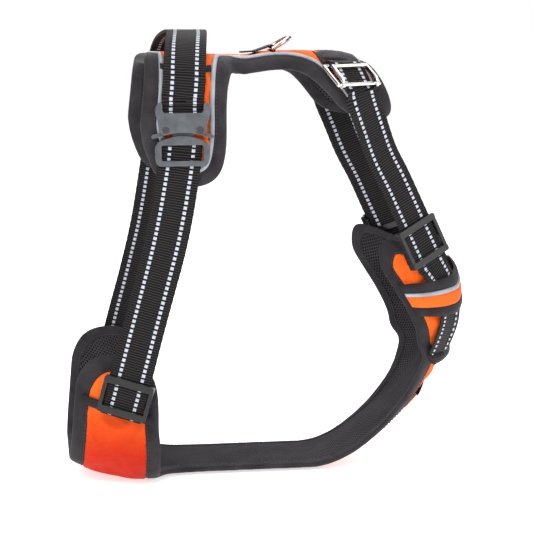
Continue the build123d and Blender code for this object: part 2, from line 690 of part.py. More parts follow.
with BuildPart() as neck_strap:
    # the top end is narrowed and turned square to the ring's lower bar
    top_frame = (neck_frames[-1][0], -RING_BAR_DIR, -NECK_TAIL)
    loft(ribbon(neck_frames[:-1], WEB_WIDTH, WEB_THICK) + ribbon([top_frame], 34.0, WEB_THICK),
         ruled=True)
    ring_eye(ring_plane, 17.0, NECK_TAIL)

# ---------------------------------------------------------------- carrying handle
# Webbing arch over the back, down to both sockets
HANDLE_HALF = [  # x, y, z from the near socket to the top
    (-88.2, -98.0, 341.0), (-88.0, -98.2, 348), (-87.2, -98.0, 358), (-86.4, -97.0, 368),
    (-85.8, -94.0, 378), (-84.8, -88.0, 387), (-83.4, -78.0, 395), (-81.4, -64.0, 401.5),
    (-79.2, -46.0, 405.8), (-77.2, -24.0, 408.4), (-76.4, 0.0, 409.2),
]
HANDLE_LINE = HANDLE_HALF + [(x, -y, z) for x, y, z in reversed(HANDLE_HALF[:-1])]
HANDLE_EYE_HALF = 17.2
with BuildPart() as handle_strap:
    last = len(HANDLE_LINE) - 1
    for i, origin in enumerate(HANDLE_LINE):
        _, y0, z0 = HANDLE_LINE[max(i - 1, 0)]
        _, y1, z1 = HANDLE_LINE[min(i + 1, last)]
        back_along = Vector(0, y0 - y1, z0 - z1).normalized()
        # narrower at the sockets, thinner below z 350
        width = 34.5 if i in (0, last) else WEB_WIDTH + 0.8
        thick = 2.2 if origin[2] < 350 else 3.0
        with BuildSketch(Plane(origin=origin, x_dir=(1, 0, 0), z_dir=back_along)):
            Rectangle(width, thick)
    loft(ruled=True)
    # eyes round the socket bars
    for side in (1, -1):
        with BuildSketch(along_x(BUCKLE_X - HANDLE_EYE_HALF, side * SOCKET_Y, SOCKET_BAR_Z)):
            Circle(2.1)
            with BuildLine():
                Polyline((-1.1, 1.4), (1.1, 1.4), (1.1, 7.6), (-1.1, 7.6), close=True)
            make_face()
            Circle(BAR_RADIUS + BAR_PLAY, mode=Mode.SUBTRACT)
        extrude(amount=2 * HANDLE_EYE_HALF)


# ---------------------------------------------------------------- tri-glide sliders
def tri_glide(centre, frame, length):
    """Frame with two bars over the webbing and a centre bar under it; joins the open part."""
    _, width_dir, length_dir = frame
    opening = WEB_WIDTH + 1.6
    rail = 3.5
    overall = opening + 2 * rail
    bar = 6.0
    under_height, over_height = -3.9, 1.5
    base = Plane(origin=centre, x_dir=width_dir, z_dir=length_dir.cross(width_dir).normalized())
    with BuildSketch(base.offset(under_height)) as rails:
        with Locations((-(opening + rail) / 2, 0), ((opening + rail) / 2, 0)):
            RectangleRounded(rail, length - 1.0, 1.2)
    extrude(rails.sketch, amount=7.3)
    with BuildSketch(base.offset(over_height)) as bars:
        with Locations((0, (length - bar) / 2), (0, -(length - bar) / 2)):
            RectangleRounded(overall, bar, 2.2)
    extrude(bars.sketch, amount=2.4)
    with BuildSketch(base.offset(under_height)) as under:
        Rectangle(overall - 1.0, bar)
    extrude(under.sketch, amount=2.3)


with BuildPart() as girth_slider:
    tri_glide(GIRTH_LOW + GIRTH_DIR * 19.8, girth_frames[1], 33.0)
with BuildPart() as neck_slider:
    tri_glide(NECK_LOW + NECK_DIR * 25.0, neck_frames[1], 38.0)


# ---------------------------------------------------------------- neck hardware
def wire_frame(width, length, radius):
    """Rectangular frame of round wire on the XY plane; its lower bar is on the X axis."""
    for y in (0.0, length):
        with BuildSketch(Plane(origin=(-width / 2, y, 0), x_dir=(0, 0, 1),
                               z_dir=(1, 0, 0))) as rod:
            Circle(radius)
        extrude(rod.sketch, amount=width)
    for x in (-width / 2, width / 2):
        with BuildSketch(Plane(origin=(x, 0, 0), x_dir=(0, 0, 1), z_dir=(0, 1, 0))) as rod:
            Circle(radius)
        extrude(rod.sketch, amount=length)
    for x in (-width / 2, width / 2):
        for y in (0.0, length):
            with Locations((x, y, 0)):
                Sphere(radius)


with BuildPart() as ring_blank:
    wire_frame(NECK_RING_WIDTH, NECK_RING_LENGTH, NECK_WIRE_RADIUS)
with BuildPart() as neck_ring:
    add(ring_blank.part.moved(ring_plane.location))

# Hook: two curled eyes round the ring's lower bar, cranked arms, and a top bar above the ring
HOOK_WIDTH = NECK_RING_WIDTH - 8.0
HOOK_RISE = 4.6            # arms' middle above the ring plane
ARM_THICK = 2.4
ARM_END = NECK_RING_LENGTH - 5.0
ARM_OUTLINE = [(0.5, 0.8), (2.5, 2.0), (4.2, HOOK_RISE - 1.4), (ARM_END, HOOK_RISE - 1.4),
               (ARM_END, HOOK_RISE + 1.4), (2.6, HOOK_RISE + 1.4), (-1.8, 2.6)]


def across_ring(x, y, z):
    """Plane at a point of the ring plane's frame, square to the ring's lower bar."""
    return Plane(origin=ring_plane.from_local_coords((x, y, z)),
                 x_dir=ring_plane.y_dir, z_dir=ring_plane.x_dir)


with BuildPart() as neck_hook:
    for x in (-HOOK_WIDTH / 2 - 0.2, HOOK_WIDTH / 2 + 0.2):
        with BuildSketch(across_ring(x - ARM_THICK / 2, 0, 0)):
            Circle(3.3)
            with BuildLine():
                Polyline(*ARM_OUTLINE, close=True)
            make_face()
            Circle(1.85, mode=Mode.SUBTRACT)
        extrude(amount=ARM_THICK)
    with BuildSketch(across_ring(-HOOK_WIDTH / 2 - 1.4, NECK_RING_LENGTH - 6.4, HOOK_RISE)):
        RectangleRounded(3.6, 2.8, 0.9)
    extrude(amount=HOOK_WIDTH + 2.8)

# Short webbing that anchors the ring's upper bar to the top of the back panel
NECK_TAB = [  # run, across, lift above the cover
    (57, -44, 3.0), (56, -36, 2.0), (55.5, -28, 1.6), (55, -19, 1.5), (55, -10, 1.5)]
upper_bar = ring_plane.from_local_coords((0, NECK_RING_LENGTH, 0))
tab_points = [saddle.lifted(*row) for row in NECK_TAB]
tab_tail = (tab_points[0] - upper_bar).normalized()
tab_points.insert(0, upper_bar + tab_tail * 6.0)
tab_normals = [RING_NORMAL] + [saddle.normal(run, across) for run, across, _ in NECK_TAB]
with BuildPart() as neck_tab:
    # width directions are turned forward, to agree with the ring's bar direction
    tab_frames = [(origin, -width_dir, length_dir)
                  for origin, width_dir, length_dir in strap_frames(tab_points, tab_normals)]
    tab_frames[0] = (tab_points[0], RING_BAR_DIR, tab_tail)
    loft(ribbon(tab_frames, 25.0, 1.6), ruled=True)
    ring_eye(Plane(origin=upper_bar, x_dir=RING_BAR_DIR, z_dir=RING_NORMAL), 12.5, tab_tail)


# ---------------------------------------------------------------- leash rings
def d_ring(hinge, out, reach):
    """D shaped ring, added to the open part: straight bar along Y at the hinge, bow towards out."""
    half, radius = LEASH_HALF_WIDTH, LEASH_WIRE_RADIUS
    side = Vector(0, 1, 0)
    plane = Plane(origin=hinge, x_dir=side, z_dir=side.cross(out))
    with BuildLine(plane) as bow:
        Line((half, 0), (half, reach - half))
        ThreePointArc((half, reach - half), (0, reach), (-half, reach - half))
        Line((-half, reach - half), (-half, 0))
    path = bow.wire()
    with BuildSketch(Plane(origin=path @ 0, z_dir=path % 0)) as profile:
        Circle(radius)
    sweep(profile.sketch, path=path)
    bar_start = plane.from_local_coords((-half, 0, 0))
    with BuildSketch(Plane(origin=bar_start, x_dir=out, z_dir=side)) as rod:
        Circle(radius)
    extrude(rod.sketch, amount=2 * half)
    for x in (-half, half):
        with Locations(plane.from_local_coords((x, 0, 0))):
            Sphere(radius)


# Ring on top of the back, leaning forward and up
TOP_HINGE_X, TOP_HINGE_Z = 3.6, 393.3
TOP_RING_TILT = math.radians(31)
with BuildPart() as top_ring:
    d_ring((TOP_HINGE_X, 0, TOP_HINGE_Z),
           Vector(math.cos(TOP_RING_TILT), 0, math.sin(TOP_RING_TILT)), 21.0)

with BuildPart() as top_ring_tab:
    with BuildSketch(facing(LEASH_TAB_WIDTH / 2)):
        with BuildLine():
            Polyline((-17.0, 389.3), (-17.0, 390.5), (-4.0, 392.2),
                     (TOP_HINGE_X - 1.2, TOP_HINGE_Z + 3.0),
                     (TOP_HINGE_X - 1.0, TOP_HINGE_Z - 3.0), (0.4, 389.7), close=True)
        make_face()
        with Locations((TOP_HINGE_X, TOP_HINGE_Z)):
            Circle(TAB_EYE_RADIUS)
            Circle(LEASH_WIRE_RADIUS + BAR_PLAY, mode=Mode.SUBTRACT)
    extrude(amount=LEASH_TAB_WIDTH)

# Chest ring, hinged where the chest's middle line reaches x = 137 and hanging down along it
hinge_run = next(run for run in (300 + i * 0.2 for i in range(400))
                 if belly.centre(run)[0] >= 137.0)
chest_hinge = belly.point(hinge_run, 0, COVER_TOP + 4.6)
chest_down = (belly.point(hinge_run - 24, 0, COVER_TOP + 3.4)
              - belly.point(hinge_run, 0, COVER_TOP + 3.4)).normalized()
with BuildPart() as chest_blank:
    d_ring((0, 0, 0), Vector(1, 0, 0), 30.0)
with BuildPart() as chest_ring:
    chest_plane = Plane(origin=chest_hinge, x_dir=chest_down,
                        z_dir=chest_down.cross(Vector(0, 1, 0)))
    add(chest_blank.part.moved(chest_plane.location))

with BuildPart() as chest_ring_tab:
    with BuildSketch(Plane(origin=(chest_hinge.X, LEASH_TAB_WIDTH / 2, chest_hinge.Z),
                           x_dir=(-chest_down.X, 0, -chest_down.Z), z_dir=(0, -1, 0))):
        with BuildLine():
            Polyline((0.6, -3.0), (3.0, -3.8), (17.0, -3.6), (17.0, -2.2), (4.0, 0.6), (0.6, 3.2),
                     close=True)
        make_face()
        Circle(TAB_EYE_RADIUS)
        Circle(LEASH_WIRE_RADIUS + BAR_PLAY, mode=Mode.SUBTRACT)
    extrude(amount=LEASH_TAB_WIDTH)

# ---------------------------------------------------------------- output
SINGLE = {
    "saddle_pad": saddle_pad, "saddle_cover": saddle_cover, "saddle_binding": saddle_binding,
    "saddle_piping": saddle_piping, "withers_band": withers_band,
    "handle_keepers": handle_keepers, "belly_pad": belly_pad, "belly_cover": belly_cover,
    "belly_binding": belly_binding, "chest_sleeve": chest_sleeve, "bib_roll": bib_roll,
    "handle_strap": handle_strap, "top_ring": top_ring, "top_ring_tab": top_ring_tab,
    "chest_ring": chest_ring, "chest_ring_tab": chest_ring_tab,
}
PAIRED = {  # built on the near side
    "belly_band": belly_band, "chest_strap": chest_strap,
    "socket_front_plate": socket_front_plate, "socket_back_plate": socket_back_plate,
    "socket_bar": socket_bar, "socket_rivets": socket_rivets,
    "lever_front": lever_front, "lever_rear": lever_rear, "lever_spring": lever_spring,
    "plug": plug, "girth_strap": girth_strap, "girth_slider": girth_slider,
    "neck_strap": neck_strap, "neck_slider": neck_slider, "neck_ring": neck_ring,
    "neck_hook": neck_hook, "neck_tab": neck_tab,
}


def save(piece, name):
    piece.part.label = name
    export_step(piece.part, f"parts/{name}.step")


for name, piece in SINGLE.items():
    save(piece, name)
for name, near in PAIRED.items():
    with BuildPart() as far:
        mirror(near.part, about=Plane.XZ)
    save(near, f"near_{name}")
    save(far, f"far_{name}")
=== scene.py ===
# Padded dog harness: a saddle pad over the back, a belly pad that bends up into a chest pad,
# webbing straps with metal buckles and rings, and a webbing carrying handle.
# +X points to the chest, -X to the rear, -Y is the near side, +Y the far side, +Z is up.
# The harness is symmetric about y = 0 and rests on the floor near z = 0.
# Shapes are worked out in millimetres; build_mesh turns them into metres.
import bpy
import math
import numpy as np
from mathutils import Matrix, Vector, noise
from mathutils.geometry import delaunay_2d_cdt


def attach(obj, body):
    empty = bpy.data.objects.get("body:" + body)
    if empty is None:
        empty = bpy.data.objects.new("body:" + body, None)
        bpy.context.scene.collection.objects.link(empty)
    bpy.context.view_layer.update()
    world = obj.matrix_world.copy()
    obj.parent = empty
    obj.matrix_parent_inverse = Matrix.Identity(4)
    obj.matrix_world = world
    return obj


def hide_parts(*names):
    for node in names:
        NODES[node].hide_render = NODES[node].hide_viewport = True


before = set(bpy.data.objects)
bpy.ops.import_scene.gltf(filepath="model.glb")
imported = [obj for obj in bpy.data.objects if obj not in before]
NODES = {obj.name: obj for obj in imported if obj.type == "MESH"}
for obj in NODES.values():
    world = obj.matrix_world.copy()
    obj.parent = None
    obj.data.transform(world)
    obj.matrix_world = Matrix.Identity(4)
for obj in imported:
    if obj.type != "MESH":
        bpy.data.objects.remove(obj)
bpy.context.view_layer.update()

COVER_H = 4.4              # cover's height above a pad's middle surface
WEB = 37.0                 # usual webbing width
RIB = 2.25                 # spacing of the webbing's cross ribs
DASH_V = 10.4              # reflective dash row, from the webbing's middle
DASH_HALF = 1.62           # half width of a dash
SIDES = (("near", -1), ("far", 1))      # side name and the sign of its y


# ---------------------------------------------------------------- small maths helpers
def table_value(xs, ys, x):
    """Smooth, non-overshooting interpolation through a table."""
    last = len(xs) - 1
    if x <= xs[0]:
        return ys[0]
    if x >= xs[-1]:
        return ys[-1]
    grades = [(ys[i + 1] - ys[i]) / (xs[i + 1] - xs[i]) for i in range(last)]

    def slope(i):
        if i == 0:
            return grades[0]
        if i == last:
            return grades[-1]
        before, after = grades[i - 1], grades[i]
        if before * after <= 0:
            return 0.0
        return 2 * before * after / (before + after)

    i = 0
    while x > xs[i + 1]:
        i += 1
    span = xs[i + 1] - xs[i]
    t = (x - xs[i]) / span
    return (
        ys[i] * (1 + 2 * t) * (1 - t) ** 2
        + span * slope(i) * t * (1 - t) ** 2
        + ys[i + 1] * t * t * (3 - 2 * t)
        - span * slope(i + 1) * t * t * (1 - t)
    )


def smooth_curve(points, per=6):
    """Catmull-Rom polyline through the points, with per steps to a span."""
    last = len(points) - 1
    curve = []
    for i in range(last):
        a, b, c, d = (points[min(max(i + k, 0), last)] for k in (-1, 0, 1, 2))
        for j in range(per):
            t = j / per
            curve.append(tuple(
                0.5 * (2 * b[k] + (c[k] - a[k]) * t
                       + (2 * a[k] - 5 * b[k] + 4 * c[k] - d[k]) * t * t
                       + (3 * b[k] - a[k] - 3 * c[k] + d[k]) * t ** 3)
                for k in range(len(b))))
    curve.append(points[-1])
    return curve


def spread(first, last, count):
    """Evenly spaced values, both ends included."""
    return [first + (last - first) * i / (count - 1) for i in range(count)]


def dot(a, b):
    return sum(x * y for x, y in zip(a, b))


def unit(a):
    length = math.sqrt(dot(a, a))
    return tuple(c / length for c in a)


def cross(a, b):
    return (a[1] * b[2] - a[2] * b[1], a[2] * b[0] - a[0] * b[2], a[0] * b[1] - a[1] * b[0])


def sub(a, b):
    return tuple(x - y for x, y in zip(a, b))


def negative(a):
    return tuple(-c for c in a)


def along(point, direction, distance):
    return tuple(x + distance * y for x, y in zip(point, direction))


def unit_rows(a):
    return a / np.maximum(np.linalg.norm(a, axis=-1, keepdims=True), 1e-9)


def noise_at(x, y, z):
    return noise.noise(Vector((x, y, z)))


# ---------------------------------------------------------------- pad surfaces
class Panel:
    """A bent pad, in surface coordinates. p runs along its middle line in the XZ plane; v runs
    across, from the middle line over a rounded shoulder and along a straight side; h is the
    height off the middle surface."""

    def __init__(self, stations):
        """stations: rows of p, x, z, side angle (deg from +X to +Z), half width, shoulder radius."""
        self.ps, self.xs, self.zs, self.angles, self.halves, self.radii = zip(*stations)

    def centre(self, p):
        return table_value(self.ps, self.xs, p), table_value(self.ps, self.zs, p)

    def side_direction(self, p):
        """The way the pad's sides run from its middle line, in the XZ plane."""
        angle = math.radians(table_value(self.ps, self.angles, p))
        return math.cos(angle), math.sin(angle)

    def section(self, p):
        """Width of the flat middle on one side, half width and shoulder radius."""
        half = table_value(self.ps, self.halves, p)
        radius = table_value(self.ps, self.radii, p)
        return half - radius, half, radius

    def point(self, p, v, h):
        x, z = self.centre(p)
        side_x, side_z = self.side_direction(p)
        flat, half, radius = self.section(p)
        reach = abs(v)
        # y and fall place the middle surface; lift_y and lift_fall are its outward normal
        if reach <= flat:
            y, fall, lift_y, lift_fall = reach, 0.0, 0.0, -1.0
        elif reach <= flat + radius * math.pi / 2:
            turn = (reach - flat) / radius
            y, fall = flat + radius * math.sin(turn), radius * (1 - math.cos(turn))
            lift_y, lift_fall = math.sin(turn), -math.cos(turn)
        else:
            y, fall = half, radius + reach - flat - radius * math.pi / 2
            lift_y, lift_fall = 1.0, 0.0
        sign = 1.0 if v >= 0 else -1.0
        out = fall + h * lift_fall
        return (x + out * side_x, sign * (y + h * lift_y), z + out * side_z)

    def normal(self, p, v):
        """Outward normal of the middle surface."""
        step_p = sub(self.point(p + 0.5, v, 0), self.point(p - 0.5, v, 0))
        step_v = sub(self.point(p, v + 0.5, 0), self.point(p, v - 0.5, 0))
        n = unit(cross(step_p, step_v))
        out = sub(self.point(p, v, 1), self.point(p, v, 0))
        return n if dot(n, out) > 0 else negative(n)

    def lifted(self, p, v, extra):
        """Point extra above the cover, measured square to it."""
        return along(self.point(p, v, COVER_H), self.normal(p, v), extra)

    def side_coords(self, x, z):
        """(p, v) of the point on the +v side that lies at (x, z) in side view."""
        best = None
        steps = 800
        for i in range(steps + 1):
            p = self.ps[0] + (self.ps[-1] - self.ps[0]) * i / steps
            centre_x, centre_z = self.centre(p)
            side_x, side_z = self.side_direction(p)
            fall = (x - centre_x) * side_x + (z - centre_z) * side_z
            miss = abs((x - centre_x) * side_z - (z - centre_z) * side_x)
            if fall > 0 and (best is None or miss < best[0]):
                best = (miss, p, fall)
        _, p, fall = best
        flat, _, radius = self.section(p)
        if fall < radius:
            return p, flat + radius * math.acos(1 - fall / radius)
        return p, flat + radius * math.pi / 2 + fall - radius

    def set_outline(self, half):
        """half: +v outline points (p, v) from the first end's middle to the last end's middle."""
        fine = smooth_curve(half)
        self.outline = fine + [(p, -v) for p, v in reversed(fine[1:-1])]

    def inset_loop(self, inset):
        """The outline moved inward."""
        o = self.outline
        n = len(o)
        area = sum(o[i][0] * o[(i + 1) % n][1] - o[(i + 1) % n][0] * o[i][1] for i in range(n))
        sign = 1 if area > 0 else -1
        loop = []
        for i in range(n):
            before, after = o[i - 1], o[(i + 1) % n]
            dp, dv = after[0] - before[0], after[1] - before[1]
            length = math.hypot(dp, dv) or 1.0
            loop.append((o[i][0] - sign * dv / length * inset, o[i][1] + sign * dp / length * inset))
        return loop

    def outline_reach(self, p):
        """Furthest the outline reaches on the +v side at p."""
        best = 0.0
        for (p0, v0), (p1, v1) in zip(self.outline, self.outline[1:] + self.outline[:1]):
            if (p0 - p) * (p1 - p) <= 0 and p0 != p1:
                best = max(best, v0 + (v1 - v0) * (p - p0) / (p1 - p0))
        return best


# Saddle middle line, rear to front: x, z, side angle, half width, shoulder radius. p equals x.
SADDLE_STATIONS = [
    (-119, 384, -95.5, 87, 32), (-100, 384, -93, 87, 32), (-75, 383, -90.5, 87, 32),
    (-54, 381.6, -90, 87, 32), (-44, 381.2, -90, 74, 28), (-34, 381, -90, 50, 19),
    (-24, 381.2, -90, 42, 16), (0, 384, -88, 41, 16), (18, 384.9, -80, 43, 19),
    (28, 385.1, -74, 50, 28), (38, 384.9, -69, 60, 41), (60, 383, -66, 60, 42),
    (80, 379.8, -65, 56, 40), (96, 375.6, -65, 51, 38),
]
# Edge of the saddle's rear side flap: x, z in side view
SADDLE_FLAP = [
    (-121.5, 356), (-123.7, 340), (-124.6, 327), (-122.5, 312), (-117.5, 296), (-110, 282),
    (-98, 274.5), (-84, 271.8), (-72.5, 272.8), (-61.7, 276.8), (-53.2, 286.6), (-48.9, 301),
    (-47.6, 316), (-47.6, 338),
]
# Saddle outline from the flap to the front end's middle: p, v
SADDLE_FRONT_EDGE = [
    (-47.3, 104), (-46.2, 90), (-43.5, 76), (-40, 62), (-34, 51), (-24, 45.5), (-8, 44), (6, 44),
    (17, 45.5), (25, 52), (31, 63), (35.5, 76), (40, 89), (48, 97), (60, 99.5), (73, 97), (84, 88),
    (91, 74), (94.5, 56), (95.5, 36), (96, 18), (96, 0),
]
SADDLE_REAR = SADDLE_STATIONS[0][0]
saddle = Panel([(row[0], *row) for row in SADDLE_STATIONS])
saddle.set_outline(
    [(SADDLE_REAR, v) for v in (0, 40, 80)]
    + [(max(p, SADDLE_REAR), v) for p, v in (saddle.side_coords(x, z) for x, z in SADDLE_FLAP)]
    + SADDLE_FRONT_EDGE)

# Belly and chest middle line, rear to chest top: x, z, side angle, half width, shoulder radius
BELLY_STATIONS = [
    (-190, 21, 85, 66, 26), (-170, 15.5, 86, 71.5, 27), (-150, 11.5, 87.5, 77, 28),
    (-128, 7.6, 89, 83, 30), (-106, 5.2, 90, 88, 31), (-84, 4.4, 90, 88, 31),
    (-60, 4.4, 90, 86, 30), (0, 4.4, 90, 80, 26), (36, 4.4, 91, 76, 26), (52, 6.6, 94, 74, 28),
    (70, 13.5, 98, 72, 31), (86, 23, 104, 70, 35), (104, 36.5, 111, 68, 39),
    (120, 50.5, 119, 66, 44), (136, 67.5, 128, 65, 49), (150, 86, 137, 64, 53),
    (162, 103, 145, 63.5, 56), (171.5, 121, 151, 63.5, 58), (177, 138, 155, 63.5, 58),
    (178.5, 152, 157, 63.5, 58), (176.5, 168, 157.5, 63.5, 58), (173, 183, 157.5, 63.5, 58),
    (168.5, 196, 157.5, 63.5, 58),
]
# Edge of the belly pad's rear side flap: x, z in side view
BELLY_FLAP = [
    (-188.5, 62), (-186.2, 77), (-184, 92), (-179.5, 105), (-172.5, 114.5), (-162, 120),
    (-149, 121.5), (-136, 119.5), (-124, 113), (-115.5, 103), (-111.6, 90), (-110.6, 72),
    (-110.4, 54), (-109.6, 38),
]
# Narrow middle of the belly pad's outline: p, v
BELLY_WAIST = [
    (83, 67), (88, 55.5), (96, 48.5), (112, 45.5), (140, 44.5), (190, 44.5), (230, 44.5),
    (262, 44.5), (290, 44.5), (322, 44.5), (350, 46), (370, 50.5), (383, 57),
]
# Side edge of the chest pad: x, z in side view
CHEST_FLAP = [
    (134.4, 117.5), (132, 131), (127, 143.5), (120.3, 156), (113.2, 167.8), (105.5, 179.5),
    (97.5, 193), (95, 205), (96.5, 216),
]
belly_ps = [0.0]           # distance along the middle line
for a, b in zip(BELLY_STATIONS, BELLY_STATIONS[1:]):
    belly_ps.append(belly_ps[-1] + math.hypot(b[0] - a[0], b[1] - a[1]))
BELLY_END = belly_ps[-1]
belly = Panel([(p, *row) for p, row in zip(belly_ps, BELLY_STATIONS)])
belly.set_outline(
    [(0, 0), (0, 40), (0, 70)]
    + [(max(p, 0.0), v) for p, v in (belly.side_coords(x, z) for x, z in BELLY_FLAP)]
    + BELLY_WAIST
    + [belly.side_coords(x, z) for x, z in CHEST_FLAP]
    + [(BELLY_END - 4, 112), (BELLY_END - 1, 100)]
    + [(BELLY_END, v) for v in (84, 56, 28, 0)])

# Station of the chest ring: the first past p = 300 where the middle line reaches this x
CHEST_RING_X = 137.0
RING_P = next(300 + i * 0.2 for i in range(600)
              if belly.centre(300 + i * 0.2)[0] >= CHEST_RING_X)


# ================================================================ materials
class Nodes:
    """Adds nodes to a shader tree. A value is a socket, a number or an (r, g, b) colour."""

    def __init__(self, tree):
        self.tree = tree

    def node(self, kind, **settings):
        node = self.tree.nodes.new(kind)
        for key, value in settings.items():
            setattr(node, key, value)
        return node

    def put(self, socket, value):
        if hasattr(value, "is_output"):
            self.tree.links.new(value, socket)
        elif isinstance(value, tuple):
            socket.default_value = (*value, 1.0)
        else:
            socket.default_value = value

    def math(self, operation, a, b=0.0):
        node = self.node("ShaderNodeMath", operation=operation)
        for socket, value in zip(node.inputs, (a, b, 0.0)):
            self.put(socket, value)
        return node.outputs[0]

    def add(self, a, b):
        return self.math("ADD", a, b)

    def times(self, a, b):
        return self.math("MULTIPLY", a, b)

    def sine(self, x, period):
        return self.math("SINE", self.times(x, 2 * math.pi / period))

    def triangle(self, x, period):
        """0..1 triangle wave of x."""
        saw = self.times(self.math("FRACT", self.math("DIVIDE", x, period)), 2.0)
        return self.math("ABSOLUTE", self.math("SUBTRACT", saw, 1.0))

    def mix(self, amount, a, b):
        node = self.node("ShaderNodeMix", data_type="RGBA")
        self.put(node.inputs[0], amount)
        self.put(node.inputs[6], a)
        self.put(node.inputs[7], b)
        return node.outputs[2]

    def ramp(self, value, zero, one):
        """0 where value is zero's, 1 where it is one's, clamped outside."""
        node = self.node("ShaderNodeMapRange", clamp=True)
        for socket, number in zip(node.inputs, (value, zero, one)):
            self.put(socket, number)
        return node.outputs[0]

    def noise(self, vector, scale, detail=3.0, rough=0.6):
        node = self.node("ShaderNodeTexNoise")
        self.put(node.inputs["Vector"], vector)
        node.inputs["Scale"].default_value = scale
        node.inputs["Detail"].default_value = detail
        node.inputs["Roughness"].default_value = rough
        return node.outputs[0]

    def voronoi(self, vector, scale):
        node = self.node("ShaderNodeTexVoronoi")
        self.put(node.inputs["Vector"], vector)
        node.inputs["Scale"].default_value = scale
        return node.outputs["Distance"]

    def bump(self, height, strength, distance, normal=None):
        node = self.node("ShaderNodeBump")
        node.inputs["Strength"].default_value = strength
        node.inputs["Distance"].default_value = distance
        self.put(node.inputs["Height"], height)
        if normal is not None:
            self.put(node.inputs["Normal"], normal)
        return node.outputs[0]

    def soft_edge(self, radius):
        """Normal that rounds the edges off."""
        node = self.node("ShaderNodeBevel", samples=6)
        node.inputs["Radius"].default_value = radius
        return node.outputs[0]

    def edge_mask(self, radius):
        """1 close to an edge, 0 on a flat face."""
        product = self.node("ShaderNodeVectorMath", operation="DOT_PRODUCT")
        self.put(product.inputs[0], self.soft_edge(radius))
        self.put(product.inputs[1], self.node("ShaderNodeNewGeometry").outputs["Normal"])
        return self.ramp(product.outputs["Value"], zero=0.995, one=0.90)

    def crevice_shade(self, distance):
        """1 deep in a corner, 0 in the open, from ambient occlusion; used to paint shade."""
        node = self.node("ShaderNodeAmbientOcclusion", samples=8)
        node.inputs["Distance"].default_value = distance
        return self.ramp(node.outputs["AO"], zero=0.80, one=0.35)

    def uv(self):
        return self.node("ShaderNodeUVMap", uv_map="mm").outputs[0]

    def split(self, vector):
        node = self.node("ShaderNodeSeparateXYZ")
        self.put(node.inputs[0], vector)
        return node.outputs

    def obj(self):
        return self.node("ShaderNodeTexCoord").outputs["Object"]


class MaterialNodes(Nodes):
    """A new material with one Principled surface."""

    def __init__(self, name):
        self.material = bpy.data.materials.new(name)
        self.material.use_nodes = True
        super().__init__(self.material.node_tree)
        self.tree.nodes.clear()
        output = self.node("ShaderNodeOutputMaterial")
        self.surface = self.node("ShaderNodeBsdfPrincipled")
        self.put(output.inputs[0], self.surface.outputs[0])

    def finish(self, inputs):
        for label, value in inputs.items():
            self.put(self.surface.inputs[label], value)
        return self.material


def orange_fabric():
    """Plain weave, painted darker towards the floor as painted shade: a lit and a shaded copy of the
    orange.
    """
    g = MaterialNodes("orange_cordura")
    uv = g.uv()
    u, v, _ = g.split(uv)
    weave = g.times(g.sine(u, period=1.9), g.sine(v, period=1.9))
    threads = g.ramp(weave, zero=-1.0, one=1.0)
    patches = g.noise(g.obj(), scale=26.0)
    specks = g.noise(uv, scale=1.7, detail=2.0)
    height = g.split(g.node("ShaderNodeNewGeometry").outputs["Position"])[2]
    # painted shade: below z = 88 mm the orange blends from the lit copy to a shaded copy
    low = g.ramp(height, zero=0.088, one=0.030)
    top = g.mix(g.ramp(patches, zero=0.3, one=0.75), (0.90, 0.110, 0.008), (1.0, 0.165, 0.016))
    shaded_orange = g.mix(g.ramp(patches, zero=0.3, one=0.75), (0.40, 0.011, 0.003), (0.56, 0.022, 0.005))
    color = g.mix(low, top, shaded_orange)
    # darker thread gaps, then pale specks
    color = g.mix(g.times(threads, 0.36), color, (0.40, 0.02, 0.004))
    color = g.mix(g.times(g.ramp(specks, zero=0.55, one=0.8), 0.14), color, (1.0, 0.36, 0.10))
    relief = g.add(g.times(weave, 0.5), g.times(g.noise(g.obj(), scale=90.0, detail=4.0), 1.2))
    return g.finish({
        "Base Color": color, "Roughness": 0.8, "Sheen Weight": 0.05, "Specular IOR Level": 0.12,
        "Normal": g.bump(relief, strength=0.55, distance=0.0004)})


def tape_fabric(name, dark, light):
    """Finely ribbed binding tape."""
    g = MaterialNodes(name)
    uv = g.uv()
    grain = g.noise(uv, scale=2.4, rough=0.7)
    patches = g.noise(g.obj(), scale=40.0)
    rib = g.triangle(g.split(uv)[0], period=1.1)
    color = g.mix(g.ramp(patches, zero=0.3, one=0.7), dark, light)
    color = g.mix(g.times(rib, 0.35), color, tuple(c * 0.5 for c in dark))
    lumps = g.times(g.noise(g.obj(), scale=160.0), 1.4)
    relief = g.add(g.times(rib, 0.35), g.add(grain, lumps))
    return g.finish({
        "Base Color": color, "Roughness": 0.66, "Sheen Weight": 0.03, "Specular IOR Level": 0.16,
        "Normal": g.bump(relief, strength=0.5, distance=0.0004)})


